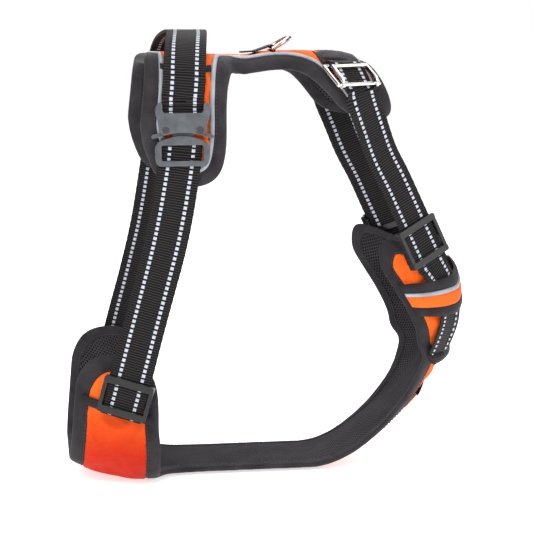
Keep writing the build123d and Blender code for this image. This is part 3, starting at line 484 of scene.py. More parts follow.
def mesh_fabric():
    """Black spacer mesh: staggered rows of diamond holes in a knitted face."""
    hole_pitch, row_pitch = 3.1, 2.7
    g = MaterialNodes("air_mesh_lining")
    uv = g.uv()
    u, v, _ = g.split(uv)

    def from_middle(cells):
        return g.math("ABSOLUTE", g.math("SUBTRACT", g.math("FRACT", cells), 0.5))

    row = g.math("DIVIDE", v, row_pitch)
    shift = g.times(g.math("MODULO", g.math("FLOOR", row), 2.0), hole_pitch * 0.5)
    across = from_middle(g.math("DIVIDE", g.add(u, shift), hole_pitch))
    diamond = g.add(g.times(across, 1.15), g.times(from_middle(row), 1.0))
    hole_and_shade = g.ramp(diamond, zero=0.52, one=0.36)
    knit = g.noise(uv, scale=3.5, detail=2.0)
    patches = g.ramp(g.noise(g.obj(), scale=30.0, detail=2.0), zero=0.3, one=0.7)
    face = g.mix(patches, (0.0300, 0.0270, 0.0310), (0.0520, 0.0475, 0.0535))
    fluff = g.times(g.ramp(knit, zero=0.4, one=0.7), 0.35)
    face = g.mix(fluff, face, (0.085, 0.079, 0.087))
    relief = g.add(g.times(hole_and_shade, -1.0), g.times(knit, 0.3))
    # painted shade: the diamond holes are coloured near black
    return g.finish({
        "Base Color": g.mix(hole_and_shade, face, (0.0016, 0.0015, 0.0018)),
        "Roughness": 0.85, "Sheen Weight": 0.02, "Specular IOR Level": 0.10,
        "Normal": g.bump(relief, strength=0.9, distance=0.0008)})


def reflective_fabric():
    """Grey tape with a fine cell pattern."""
    g = MaterialNodes("reflective_piping")
    uv = g.uv()
    cell = g.voronoi(uv, scale=1.6)
    patches = g.noise(g.obj(), scale=35.0, detail=2.0)
    color = g.mix(g.ramp(patches, zero=0.35, one=0.7), (0.25, 0.275, 0.31), (0.40, 0.43, 0.47))
    color = g.mix(g.times(g.ramp(cell, zero=0.2, one=0.6), 0.3), color, (0.17, 0.19, 0.22))
    relief = g.add(cell, g.noise(uv, scale=5.0, detail=2.0))
    return g.finish({
        "Base Color": color, "Roughness": 0.42, "Metallic": 0.15,
        "Normal": g.bump(relief, strength=0.3, distance=0.0003)})


def webbing_fabric():
    """Black webbing: cross ribs with a painted highlight on their crests and painted shade in the
    valleys, with paler fuzz.
    """
    g = MaterialNodes("webbing_black")
    uv = g.uv()
    u, v, _ = g.split(uv)
    rib = g.triangle(u, period=RIB)
    warp = g.sine(v, period=0.9)
    fuzz = g.noise(uv, scale=2.0, rough=0.7)
    crest_and_highlight = g.ramp(rib, zero=0.30, one=0.0)
    # painted highlight on the rib crests, painted shade in the valleys between them
    color = g.mix(crest_and_highlight, (0.0018, 0.0016, 0.0018), (0.056, 0.049, 0.049))
    color = g.mix(g.times(g.ramp(fuzz, zero=0.5, one=0.8), 0.25), color, (0.075, 0.066, 0.066))
    relief = g.add(g.times(crest_and_highlight, 0.8), g.add(g.times(warp, 0.12), g.times(fuzz, 0.35)))
    return g.finish({
        "Base Color": color, "Roughness": 0.6, "Sheen Weight": 0.02, "Specular IOR Level": 0.14,
        "Normal": g.bump(relief, strength=0.5, distance=0.0004)})


def dash_thread():
    """Pale reflective thread of the dashes on the webbing."""
    g = MaterialNodes("reflective_thread")
    uv = g.uv()
    thread = g.sine(g.split(uv)[1], period=0.62)
    fuzz = g.noise(uv, scale=3.0, detail=2.0)
    color = g.mix(g.ramp(thread, zero=-1.0, one=0.4), (0.26, 0.29, 0.35), (0.60, 0.64, 0.71))
    color = g.mix(g.times(g.ramp(fuzz, zero=0.5, one=0.8), 0.4), color, (0.34, 0.375, 0.44))
    return g.finish({
        "Base Color": color, "Roughness": 0.45,
        "Normal": g.bump(g.add(thread, fuzz), strength=0.4, distance=0.0003)})


def sewing_thread():
    g = MaterialNodes("sewing_thread")
    twist = g.noise(g.obj(), scale=900.0, detail=2.0)
    return g.finish({
        "Base Color": g.mix(twist, (0.012, 0.011, 0.013), (0.055, 0.05, 0.055)),
        "Roughness": 0.55, "Normal": g.bump(twist, strength=0.4, distance=0.0002)})


def buckle_metal():
    """Satin grey coat, with a painted highlight on the edges and painted shade in the corners."""
    g = MaterialNodes("buckle_satin_coat")
    place = g.obj()
    grain = g.noise(place, scale=1500.0, detail=2.0)
    patches = g.noise(place, scale=120.0, detail=4.0)
    edge = g.edge_mask(radius=0.0007)
    color = g.mix(g.ramp(patches, zero=0.35, one=0.7), (0.078, 0.084, 0.094), (0.118, 0.125, 0.138))
    # painted highlight: the edges are lightened
    color = g.mix(g.times(edge, 0.5), color, (0.30, 0.32, 0.345))
    # painted shade: corners are darkened by ambient occlusion
    color = g.mix(g.crevice_shade(distance=0.0035), color, (0.012, 0.012, 0.014))
    rounded = g.soft_edge(radius=0.0006)
    return g.finish({
        "Base Color": color, "Metallic": 0.5, "Specular IOR Level": 0.35,
        "Roughness": g.add(0.42, g.times(grain, 0.14)),
        "Normal": g.bump(grain, strength=0.12, distance=0.0002, normal=rounded)})


def polished_steel():
    g = MaterialNodes("polished_steel")
    place = g.obj()
    patches = g.noise(place, scale=160.0, detail=4.0)
    grain = g.noise(place, scale=1200.0, detail=2.0)
    color = g.mix(g.ramp(patches, zero=0.3, one=0.8), (0.52, 0.49, 0.455), (0.76, 0.745, 0.72))
    dull = g.ramp(patches, zero=0.5, one=0.9)
    rounded = g.soft_edge(radius=0.0004)
    return g.finish({
        "Base Color": color, "Metallic": 1.0, "Roughness": g.add(0.10, g.times(dull, 0.16)),
        "Normal": g.bump(grain, strength=0.05, distance=0.0002, normal=rounded)})


def rivet_steel():
    g = MaterialNodes("rivet_steel")
    patches = g.noise(g.obj(), scale=500.0)
    color = g.mix(patches, (0.045, 0.048, 0.055), (0.095, 0.10, 0.112))
    # painted shade: the rivet colour is darkened in its crevices by ambient occlusion
    return g.finish({
        "Base Color": g.mix(g.crevice_shade(distance=0.0016), color, (0.004, 0.004, 0.005)),
        "Metallic": 0.8, "Roughness": 0.38,
        "Normal": g.bump(patches, strength=0.1, distance=0.0002)})


def slider_plastic():
    """Glossy black, with a painted highlight on the edges."""
    g = MaterialNodes("slider_black")
    place = g.obj()
    patches = g.noise(place, scale=220.0, detail=4.0)
    grain = g.noise(place, scale=1600.0, detail=2.0)
    edge = g.edge_mask(radius=0.0006)
    color = g.mix(g.ramp(patches, zero=0.3, one=0.8), (0.006, 0.006, 0.007), (0.016, 0.015, 0.016))
    rounded = g.soft_edge(radius=0.0008)
    # painted highlight: the edges are lightened
    return g.finish({
        "Base Color": g.mix(g.times(edge, 0.5), color, (0.060, 0.056, 0.056)),
        "Roughness": g.add(0.20, g.times(patches, 0.16)), "Specular IOR Level": 0.38,
        "Normal": g.bump(grain, strength=0.07, distance=0.0002, normal=rounded)})


ORANGE = orange_fabric()
BINDING = tape_fabric("binding_tape", dark=(0.0150, 0.0132, 0.0155), light=(0.040, 0.0355, 0.0415))
MESH = mesh_fabric()
REFLECTIVE = reflective_fabric()
BLACK_TAPE = tape_fabric("black_tape", dark=(0.010, 0.009, 0.010), light=(0.030, 0.027, 0.030))
WEBBING = webbing_fabric()
DASH = dash_thread()
THREAD = sewing_thread()
BUCKLE = buckle_metal()
CHROME = polished_steel()
RIVET = rivet_steel()
PLASTIC = slider_plastic()


# ================================================================ meshes
def build_mesh(name, verts, faces, uvs, mats, body="harness", replaced=(), face_mats=None):
    """verts in mm, one uv (mm) per vertex; replaced: the CAD pieces this object stands for."""
    me = bpy.data.meshes.new(name)
    me.from_pydata([(x / 1000.0, y / 1000.0, z / 1000.0) for x, y, z in verts], [],
                   [tuple(f) for f in faces])
    layer = me.uv_layers.new(name="mm")
    corners = np.zeros(len(me.loops), np.int32)
    me.loops.foreach_get("vertex_index", corners)
    layer.data.foreach_set("uv", np.asarray(uvs, np.float32)[corners].ravel())
    for mat in mats:
        me.materials.append(mat)
    if face_mats is not None:
        me.polygons.foreach_set("material_index", np.asarray(face_mats, np.int32))
    me.polygons.foreach_set("use_smooth", [True] * len(me.polygons))
    me.validate()
    me.update()
    obj = bpy.data.objects.new(name, me)
    bpy.context.scene.collection.objects.link(obj)
    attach(obj, body)
    if replaced:
        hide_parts(*replaced)


def resample(points, step):
    """Even spacing along a polyline whose first three columns are the position."""
    rows = np.asarray(points, float)
    lengths = np.linalg.norm(np.diff(rows[:, :3], axis=0), axis=1)
    at = np.concatenate([[0], np.cumsum(lengths)])
    count = max(2, int(round(at[-1] / step)) + 1)
    s = np.linspace(0, at[-1], count)
    return np.stack([np.interp(s, at, rows[:, k]) for k in range(rows.shape[1])], 1), s


def webbing(name, path, body="harness", replaced=(), width=WEB, thick=1.3, off=0.0, side=0.0,
            dash=True):
    """Ribbed webbing along a path of (point, outward normal) pairs; off moves it outward, side
    moves it along its width."""
    rail, s = resample(smooth_curve([(*p, *n) for p, n in path], 14), RIB / 4)
    middle, normal = rail[:, :3], unit_rows(rail[:, 3:6])
    tangent = unit_rows(np.gradient(middle, axis=0))
    normal = unit_rows(normal - tangent * (normal * tangent).sum(1, keepdims=True))
    across = np.cross(normal, tangent)
    middle = middle + normal * off + across * side
    half = width / 2
    # columns of vertices from the middle to one edge; a narrow strap has no room for dashes
    if DASH_V + 2.5 > half - 1.2:
        cols = [0.0, half * 0.3, half * 0.6]
    else:
        near, far = DASH_V - DASH_HALF, DASH_V + DASH_HALF
        cols = [0.0, 4.5, near - 0.12, near + 0.12, DASH_V, far - 0.12, far + 0.12]
    cols += [half - 1.1, half - 0.35, half]
    cols = [-c for c in reversed(cols[1:])] + cols
    phase = np.mod(s, 2 * RIB) / (2 * RIB)
    in_dash = (phase > 0.12) & (phase < 0.80)
    rib = 0.5 + 0.5 * np.cos(2 * math.pi * s / RIB)
    edge_wave = 0.10 * np.sin(s / 1.13 + 1.7) + 0.22 * np.sin(s / 23.0 + 0.6)
    count = len(s)
    ring_cols = cols + cols[::-1]       # over the outer face and back under the inner one
    ring = len(ring_cols)
    verts, uvs = [], []
    for k, c in enumerate(ring_cols):
        from_edge = half - abs(c)
        fullness = 1.0 if from_edge > 0.9 else (0.35 if from_edge < 0.1 else 0.85)
        height = np.full(count, thick / 2 * fullness)
        if from_edge > 0.2:
            height = height + 0.16 * rib - 0.05
        if dash and abs(abs(c) - DASH_V) < 1.55:
            height = np.where(in_dash, thick / 2 + 0.26, height)
        shift = np.full(count, c)
        if from_edge < 1.2:
            shift = shift + np.sign(c) * edge_wave
        face_sign = 1 if k < len(cols) else -1
        verts.append(middle + across * shift[:, None] + normal * (face_sign * height)[:, None])
        uvs.append(np.stack([s, np.full(count, c)], 1))
    striped = [dash and abs(abs(0.5 * (a + b)) - DASH_V) < 1.58
               for a, b in zip(ring_cols, ring_cols[1:] + ring_cols[:1])]
    faces, face_mats = [], []
    for i in range(count - 1):
        run = in_dash[i] and in_dash[i + 1]
        for k in range(ring):
            k2 = (k + 1) % ring
            faces.append((i * ring + k, i * ring + k2, (i + 1) * ring + k2, (i + 1) * ring + k))
            face_mats.append(int(run and striped[k]))
    last = (count - 1) * ring
    faces += [tuple(range(ring - 1, -1, -1)), tuple(range(last, last + ring))]
    face_mats += [0, 0]
    build_mesh(name, np.stack(verts, 1).reshape(-1, 3), faces, np.stack(uvs, 1).reshape(-1, 2),
               [WEBBING, DASH], body, replaced, face_mats)


# ---------------------------------------------------------------- padded panels
def boundary_distance(loop, points):
    spans = np.roll(loop, -1, 0) - loop
    nearest = np.full(len(points), 1e9)
    for start, span in zip(loop, spans):
        t = np.clip(((points - start) @ span) / max(float(span @ span), 1e-9), 0, 1)
        gap = np.linalg.norm(start + t[:, None] * span - points, axis=1)
        nearest = np.minimum(nearest, gap)
    return nearest


def even_loop(panel, inset, step):
    """Closed (p, v) loop inset inside the outline, evenly spaced, without backtracks."""
    loop = np.array(panel.inset_loop(inset))
    gap = boundary_distance(np.array(panel.outline), loop)
    kept = loop[gap > inset - 0.35 - 0.02 * inset]
    kept = np.concatenate([kept, kept[:1]])
    at = np.concatenate([[0], np.cumsum(np.linalg.norm(np.diff(kept, axis=0), axis=1))])
    s = np.linspace(0, at[-1], int(at[-1] / step), endpoint=False)
    even = np.stack([np.interp(s, at, kept[:, 0]), np.interp(s, at, kept[:, 1])], 1)
    for _ in range(3):
        even = 0.5 * even + 0.25 * (np.roll(even, 1, 0) + np.roll(even, -1, 0))
    return even


def inside(loop, points):
    result = np.zeros(len(points), bool)
    x, y = points[:, 0], points[:, 1]
    for (x0, y0), (x1, y1) in zip(loop, np.roll(loop, -1, 0)):
        if y0 == y1:
            continue
        result ^= ((y0 > y) != (y1 > y)) & (x < (x1 - x0) * (y - y0) / (y1 - y0) + x0)
    return result


def filled_region(panel, inset, step):
    """Inside of the inset loop: (p, v) points, triangles, distance from its edge."""
    loop = even_loop(panel, inset, step)
    low, high = loop.min(0), loop.max(0)
    row_v = np.arange(low[1], high[1], step * 0.9)
    grid_p, grid_v = np.meshgrid(np.arange(low[0], high[0], step), row_v, indexing="ij")
    grid_p = grid_p + (np.arange(len(row_v)) % 2)[None, :] * step * 0.5
    points = np.stack([grid_p.ravel(), grid_v.ravel()], 1)
    points = points[inside(loop, points)]
    points = points[boundary_distance(loop, points) > step * 0.6]
    n = len(loop)
    edges = [(i, (i + 1) % n) for i in range(n)]
    verts, _, faces, *_ = delaunay_2d_cdt(
        [Vector(q) for q in np.concatenate([loop, points])], edges, [list(range(n))], 1, 1e-4)
    verts = np.array([(q.x, q.y) for q in verts])
    return verts, [tuple(f) for f in faces], boundary_distance(loop, verts)


CLOTH_FRAMES = 20
CLOTH_SETTINGS = dict(
    quality=4, mass=0.25, tension_stiffness=25, compression_stiffness=18, shear_stiffness=8,
    bending_stiffness=0.25, use_pressure=True, uniform_pressure_force=4.0, shrink_min=-0.035,
    vertex_group_mass="pin")


def cloth_settle(points, faces, pinned, travel):
    """Lets a sheet swell and crease as cloth; pinned vertices hold, the others move no further
    than travel."""
    old = np.array(points, float)
    me = bpy.data.meshes.new("cloth_tmp")
    me.from_pydata([tuple(q / 1000.0) for q in old], [], faces)
    sheet = bpy.data.objects.new("cloth_tmp", me)
    scene = bpy.context.scene
    scene.collection.objects.link(sheet)
    group = sheet.vertex_groups.new(name="pin")
    group.add([int(i) for i in np.nonzero(pinned)[0]], 1.0, "REPLACE")
    cloth = sheet.modifiers.new("cloth", "CLOTH")
    for key, value in CLOTH_SETTINGS.items():
        setattr(cloth.settings, key, value)
    cloth.settings.effector_weights.gravity = 0.0
    cloth.collision_settings.use_collision = False
    cloth.point_cache.frame_start = 1
    cloth.point_cache.frame_end = CLOTH_FRAMES
    for number in range(1, CLOTH_FRAMES + 1):
        scene.frame_set(number)
    settled = sheet.evaluated_get(bpy.context.evaluated_depsgraph_get())
    coords = np.zeros(len(old) * 3)
    settled.data.vertices.foreach_get("co", coords)
    move = coords.reshape(-1, 3) * 1000.0 - old
    scene.frame_set(1)
    bpy.data.objects.remove(sheet, do_unlink=True)
    move[~np.isfinite(move)] = 0.0
    length = np.linalg.norm(move, axis=1, keepdims=True)
    move *= np.minimum(1.0, travel / np.maximum(length, 1e-9))
    return [tuple(q) for q in old + move]


def cover_sheet(name, panel, inset, base_h, puff, mat, replaced, seed, soft=9.0,
                wrinkle=0.5, inner=False, travel=0.0, calm_spots=()):
    """Padded sheet over one face of a panel: crowned away from its sewn edge, with soft creases.
    soft is how far in the crown rises; calm_spots are flatter ovals (p, v, p radius, v radius);
    travel lets the sheet settle as cloth."""
    thick = 0.9
    pv, faces, from_edge = filled_region(panel, inset, step=2.6)
    calm = np.ones(len(pv))
    for spot_p, spot_v, radius_p, radius_v in calm_spots:
        away = np.hypot((pv[:, 0] - spot_p) / radius_p, (pv[:, 1] - spot_v) / radius_v)
        calm = np.minimum(calm, np.clip((away - 0.75) / 0.6, 0.0, 1.0))
    sign = -1 if inner else 1
    top, bottom = [], []
    for (p, v), gap, calmness in zip(pv, from_edge, calm):
        crown = (1 - math.exp(-gap / soft)) * (0.15 + 0.85 * calmness)
        crease = wrinkle * crown * (noise_at(p / 22 + seed, v / 30, seed)
                                    + 0.5 * noise_at(p / 9 + seed, v / 11, 3 + seed))
        pucker = (0.35 * math.exp(-gap / 4.0) * math.sin((p + v) / 2.6)
                  * (0.6 + 0.4 * noise_at(p / 15, v / 15, 9)))
        h = base_h + sign * (puff * crown + crease + pucker * 0.35)
        top.append(panel.point(p, v, h))
        bottom.append(panel.point(p, v, h - sign * thick))
    # turn the faces outward, judged by one in the middle of the list
    sample = faces[len(faces) // 2]
    a, b, c = (np.array(top[i]) for i in sample)
    if np.cross(b - a, c - a) @ (np.array(panel.normal(*pv[sample[0]])) * sign) < 0:
        faces = [f[::-1] for f in faces]
    if travel:
        settled = cloth_settle(top, faces, (from_edge < 2.0) | (calm < 0.5), travel)
        bottom = [tuple(np.array(low) + np.array(new) - np.array(old))
                  for low, new, old in zip(bottom, settled, top)]
        top = settled
    # keep both faces above the floor
    top = [(x, y, max(z, 0.35)) for x, y, z in top]
    bottom = [(x, y, max(z, 0.9)) for x, y, z in bottom]
    n = len(top)
    edges = dict.fromkeys(edge for f in faces for edge in zip(f, f[1:] + f[:1]))
    walls = [(j, i, i + n, j + n) for i, j in edges if (j, i) not in edges]
    faces = faces + [tuple(i + n for i in f[::-1]) for f in faces] + walls
    build_mesh(name, top + bottom, faces, np.concatenate([pv, pv]), [mat],
               replaced=replaced)


def edge_strip(name, panel, profile, step, mat, replaced, ripple):
    """Sweeps a closed profile of (inset, height) pairs along the panel's edge."""
    base_inset = 3.0
    base = even_loop(panel, base_inset, step)
    n, m = len(base), len(profile)
    after = np.roll(base, -1, 0)
    tangent = after - np.roll(base, 1, 0)
    tangent = tangent / np.linalg.norm(tangent, axis=1, keepdims=True)
    area = 0.5 * np.sum(base[:, 0] * after[:, 1] - after[:, 0] * base[:, 1])
    inward = np.stack([-tangent[:, 1], tangent[:, 0]], 1) * (1.0 if area > 0 else -1.0)
    s = np.concatenate([[0], np.cumsum(np.linalg.norm(after - base, axis=1))[:-1]])
    around = np.concatenate([[0], np.cumsum([math.dist(a, b)
                                             for a, b in zip(profile, profile[1:])])])
    verts, uvs, faces = [], [], []
    for i in range(n):
        for j, (inset, h) in enumerate(profile):
            wave = ripple * (noise_at(s[i] / 7.0, inset / 6.0, 5.0)
                             + 0.6 * math.sin(s[i] / 1.9) * noise_at(s[i] / 30.0, 1.0, 2.0))
            p, v = base[i] + inward[i] * (inset - base_inset)
            verts.append(panel.point(p, v, h + (wave if h > 0 else -wave)))
            uvs.append((s[i], around[j]))
    for i in range(n):
        i2 = (i + 1) % n
        for j in range(m):
            j2 = (j + 1) % m
            faces.append((i * m + j, i * m + j2, i2 * m + j2, i2 * m + j))
    build_mesh(name, verts, faces, uvs, [mat], replaced=replaced)


STITCH_PITCH, STITCH_LENGTH, STITCH_RADIUS = 3.4, 2.3, 0.32
STITCH_SIDES = 6
# Rings of one stitch: fraction of its length, share of its radius
STITCH_RINGS = ((-0.05, 0.35), (0.15, 0.9), (0.5, 1.0), (0.85, 0.9), (1.05, 0.35))


def stitches(name, panel, inset, h):
    """Row of stitches inside the panel's edge, each a small raised thread."""
    base = even_loop(panel, inset, STITCH_PITCH)
    verts, faces, uvs = [], [], []
    sides = STITCH_SIDES
    for start, following in zip(base, np.roll(base, -1, 0)):
        span = following - start
        length = np.linalg.norm(span)
        if length < 1e-6:
            continue
        end = start + span / length * min(STITCH_LENGTH, length * 0.8)
        a = np.array(panel.point(*start, h))
        b = np.array(panel.point(*end, h))
        normal = np.array(panel.normal(*start))
        if h < 0:
            normal = -normal
        tangent = (b - a) / max(np.linalg.norm(b - a), 1e-9)
        across = np.cross(normal, tangent)
        first = len(verts)
        for f, share in STITCH_RINGS:
            rise = STITCH_RADIUS * 0.5 * (1 - (2 * f - 1) ** 2)
            centre = a + (b - a) * f + normal * rise
            for k in range(sides):
                turn = 2 * math.pi * k / sides
                spoke = across * math.cos(turn) + normal * math.sin(turn)
                verts.append(centre + spoke * STITCH_RADIUS * share)
                uvs.append((f * STITCH_LENGTH, k))
        rings = [first + r * sides for r in range(len(STITCH_RINGS))]
        for r, r2 in zip(rings, rings[1:]):
            for k in range(sides):
                k2 = (k + 1) % sides
                faces.append((r + k, r + k2, r2 + k2, r2 + k))
        faces.append(tuple(rings[0] + k for k in reversed(range(sides))))
        faces.append(tuple(rings[-1] + k for k in range(sides)))
    build_mesh(name, verts, faces, uvs, [THREAD])


# Binding sections: inset from the pad's outline, height
SADDLE_BINDING = [
    (13.2, 3.6), (12.9, 4.5), (11.6, 5.0), (9.5, 5.05), (6.5, 5.0), (3.6, 4.5), (1.4, 3.2),
    (0.2, 1.5), (0.0, -0.2), (0.3, -1.8), (1.5, -3.2), (3.8, -4.2), (6.5, -4.5), (9.0, -4.4),
    (10.6, -4.2), (11.0, -3.6), (10.4, -3.0), (4.0, -2.4), (2.2, 0.0), (4.0, 2.6), (10.4, 3.2),
]
BELLY_BINDING = [
    (13.6, 2.6), (13.2, 3.7), (11.6, 4.0), (9.5, 3.9), (6.5, 3.5), (3.6, 2.9), (1.6, 2.2),
    (0.3, 1.1), (0.0, 0.1), (0.3, -0.9), (1.5, -1.9), (3.8, -2.6), (6.5, -3.0), (8.4, -3.2),
    (9.4, -3.1), (9.7, -2.6), (9.2, -2.2), (4.0, -1.5), (2.4, 0.1), (4.0, 1.7), (10.4, 2.4),
]
# Oval piping section beside the binding's inner edge
PIPING = [(14.25 + 2.25 * math.cos(a), 5.3 + 1.35 * math.sin(a))
          for a in [2 * math.pi * k / 10 for k in range(10)]]

# saddle
cover_sheet("saddle_cover_fabric", saddle, inset=12.2, base_h=4.3, puff=1.3, mat=ORANGE,
            replaced=("saddle_cover",), seed=1.3, wrinkle=0.6, travel=1.4)
cover_sheet("saddle_lining_mesh", saddle, inset=10.0, base_h=-3.6, puff=1.6, mat=MESH,
            replaced=("saddle_pad",), seed=4.1, soft=14.0, inner=True)
edge_strip("saddle_edge_binding", saddle, SADDLE_BINDING, step=2.2, mat=BINDING,
           replaced=("saddle_binding",), ripple=0.22)
edge_strip("saddle_reflective_piping", saddle, PIPING, step=2.4, mat=REFLECTIVE,
           replaced=("saddle_piping",), ripple=0.05)
stitches("saddle_stitching", saddle, inset=10.8, h=5.15)
# belly and chest; the cover stays flat around the chest ring
cover_sheet("belly_cover_fabric", belly, inset=12.2, base_h=3.2, puff=2.3, mat=ORANGE,
            replaced=("belly_cover",), seed=7.7, wrinkle=0.9, travel=1.6,
            calm_spots=((RING_P - 12.0, 0.0, 34.0, 30.0),))
cover_sheet("belly_lining_mesh", belly, inset=8.6, base_h=-2.5, puff=1.6, mat=MESH,
            replaced=("belly_pad",), seed=2.9, soft=14.0, inner=True)
edge_strip("belly_edge_binding", belly, BELLY_BINDING, step=2.2, mat=BINDING,
           replaced=("belly_binding",), ripple=0.22)
stitches("belly_stitching", belly, inset=11.4, h=4.15)
stitches("belly_inner_stitching", belly, inset=7.6, h=-3.2)


# ---------------------------------------------------------------- strips that lie on a panel
def surface_strip(name, panel, rows, mat, replaced=(), *, lift, thick, bulge,
                  edge=0.5, ripple=0.12, hug=0.0):
    """Closed strip. rows: its cross lines, each a list of (p, v). lift is the height of its top,
    bulge crowns it, edge lowers its long sides, hug raises it over the pad's shoulders."""
    row_count, width = len(rows), len(rows[0])
    top, bottom, uvs = [], [], []
    s = 0.0
    for i, row in enumerate(rows):
        if i:
            s += math.dist(panel.point(*rows[i - 1][width // 2], 5),
                           panel.point(*row[width // 2], 5))
        c = 0.0
        for j, (p, v) in enumerate(row):
            if j:
                c += math.dist(panel.point(*row[j - 1], 5), panel.point(p, v, 5))
            f = j / (width - 1)
            inner = min(1.0, min(f, 1 - f) * (width - 1) / 1.5)
            wave = ripple * (noise_at(s / 9.0, c / 7.0, 1.0) + 0.5 * noise_at(s / 3.0, c / 3.0, 4.0))
            rise = hug * math.exp(-((abs(v) - 52.0) / 15.0) ** 2)
            h = lift + rise + bulge * math.sin(math.pi * f) + wave - (1 - inner) * edge
            normal = panel.normal(p, v)
            base = panel.point(p, v, COVER_H)
            top.append(along(base, normal, h - COVER_H))
            bottom.append(along(base, normal, lift - thick - COVER_H))
            uvs.append((s, c))
    n = row_count * width
    faces = []
    for i in range(row_count - 1):
        for j in range(width - 1):
            a = i * width + j
            b = a + width
            faces.append((a, a + 1, b + 1, b))
            faces.append((n + a, n + b, n + b + 1, n + a + 1))
    for i in range(row_count - 1):
        a = i * width
        b = a + width
        faces.append((a, b, n + b, n + a))
        a, b = a + width - 1, b + width - 1
        faces.append((b, a, n + a, n + b))
    for j in range(width - 1):
        faces.append((j + 1, j, n + j, n + j + 1))
        a = (row_count - 1) * width + j
        faces.append((a, a + 1, n + a + 1, n + a))
    corner, beside, beyond = (np.array(top[k]) for k in (0, 1, width))
    if np.cross(beside - corner, beyond - corner) @ np.array(panel.normal(*rows[0][0])) < 0:
        faces = [f[::-1] for f in faces]
    build_mesh(name, top + bottom, faces, uvs + uvs, [mat], replaced=replaced)


def crossing_rows(middle, offsets, count=64, tuck=8.5):
    """Cross lines of a strip across the chest that follows p = middle(v) and stops at the bound
    edge on both sides, tuck inside the outline."""
    ends = []
    for offset in offsets:
        v = 60.0
        for _ in range(60):
            v = 0.6 * v + 0.4 * max(20.0, belly.outline_reach(middle(v) + offset) - tuck)
        ends.append(v)
    return [[(middle(t * v) + offset, t * v) for offset, v in zip(offsets, ends)]
            for t in spread(-1, 1, count)]


def sleeve_p(v):
    return BELLY_END - 15.0 - 0.40 * (math.sqrt(v * v + 49.0) - 7.0) - 0.0004 * v * v


BIB_CURVE = 0.0062         # how much the bib's lower edge bends back with v squared


def bib_roll_p(v):
    return BELLY_END - 88.0 - BIB_CURVE * v * v


def bib_panel_p(v, k):
    return BELLY_END - 84 - BIB_CURVE * v * v + (44 + BIB_CURVE * v * v) * k


# Bands of the chest sleeve, top to bottom: offsets in p from sleeve_p, then their strips
surface_strip("chest_sleeve_top_band", belly, crossing_rows(sleeve_p, spread(14.5, 4.5, 8)),
              BLACK_TAPE, replaced=("chest_sleeve",), lift=10.1, hug=2.6, thick=2.6, bulge=0.7)
surface_strip("chest_sleeve_reflective", belly, crossing_rows(sleeve_p, spread(4.8, 0.9, 5)),
              REFLECTIVE, lift=10.9, hug=2.6, thick=2.4, bulge=0.3)
surface_strip("chest_sleeve_orange_band", belly, crossing_rows(sleeve_p, spread(1.2, -10.6, 8)),
              ORANGE, lift=10.2, hug=2.6, thick=2.4, bulge=0.6)
surface_strip("chest_sleeve_lower_band", belly, crossing_rows(sleeve_p, spread(-10.2, -20.4, 7)),
              BLACK_TAPE, lift=9.7, hug=2.4, thick=2.4, bulge=0.6)

# roll across the front of the saddle
withers_rows = [[(66.0 - 0.004 * v * v + offset, v) for offset in spread(-19.0, 20.0, 15)]
                for v in spread(-42.5, 42.5, 35)]
surface_strip("withers_roll", saddle, withers_rows, BINDING, replaced=("withers_band",),
              lift=7.3, thick=3.0, bulge=1.9, edge=2.6, ripple=0.45)

bib_roll_rows = crossing_rows(bib_roll_p, spread(-6.5, 6.5, 9), count=56, tuck=9.0)
surface_strip("bib_rolled_edge", belly, bib_roll_rows, BLACK_TAPE, replaced=("bib_roll",),
              lift=8.6, thick=3.6, bulge=2.6, hug=0.8)
bib_rows = [[(bib_panel_p(v, k), v) for k in spread(0, 1, 20)] for v in spread(-31, 31, 26)]
surface_strip("bib_panel", belly, bib_rows, BLACK_TAPE, lift=7.2, thick=2.0, bulge=1.2)

# Chest webbing: distance back from the chest pad's top end, v
CHEST_STRAP = [(4, 75), (12, 71), (18, 67), (26, 62), (34, 57.5), (46, 54), (58, 51.5), (70, 50),
               (82, 49.5), (92, 49), (99, 48.5)]
# Band across the belly pad's side flap: x, z in side view
BELLY_BAND = [(-178.5, 82.5), (-170, 79.5), (-163, 76.8), (-150, 72.3), (-138, 68.6), (-126, 66),
              (-117, 64)]
# Keeper strip on the saddle's side: p, v
KEEPER = [(-106.0, 80.5), (-100, 83.2), (-94, 84.6), (-86, 85.2), (-76, 84.8), (-70, 83.6),
          (-61.5, 80.5)]


def side_rows(line, half, count, side, per):
    """Cross lines of a strip that follows a (p, v) line on one side of a panel."""
    return [[(p, side * (v + offset)) for offset in spread(-half, half, count)]
            for p, v in smooth_curve(line, per)]


for who, side in SIDES:
    line = [(BELLY_END - back, side * v) for back, v in CHEST_STRAP]
    webbing(f"{who}_chest_webbing", [(belly.lifted(p, v, 2.6), belly.normal(p, v)) for p, v in line],
            replaced=(f"{who}_chest_strap",), thick=1.5, width=34.0)
    line = [belly.side_coords(x, z) for x, z in BELLY_BAND]
    surface_strip(f"{who}_belly_cross_band", belly, side_rows(line, 4.3, 6, side, per=6),
                  BLACK_TAPE, replaced=(f"{who}_belly_band",), lift=6.9, thick=1.4, bulge=0.3)

for who, side in SIDES:
    surface_strip(f"{who}_handle_keeper", saddle, side_rows(KEEPER, 3.1, 5, side, per=5),
                  BLACK_TAPE, replaced=("handle_keepers",) if who == "near" else (),
                  lift=7.0, thick=1.3, bulge=0.2)


# ---------------------------------------------------------------- straps
# Paths are lists of (point, outward normal), laid out on the near side.
def near_normal(degrees):
    """Outward near-side normal (-Y), turned about Z towards -X."""
    angle = math.radians(degrees)
    return (-math.sin(angle), -math.cos(angle), 0.0)


def on_side(path, side):
    """A near-side path, mirrored when the side is the far one."""
    return [((x, -side * y, z), (nx, -side * ny, nz)) for (x, y, z), (nx, ny, nz) in path]


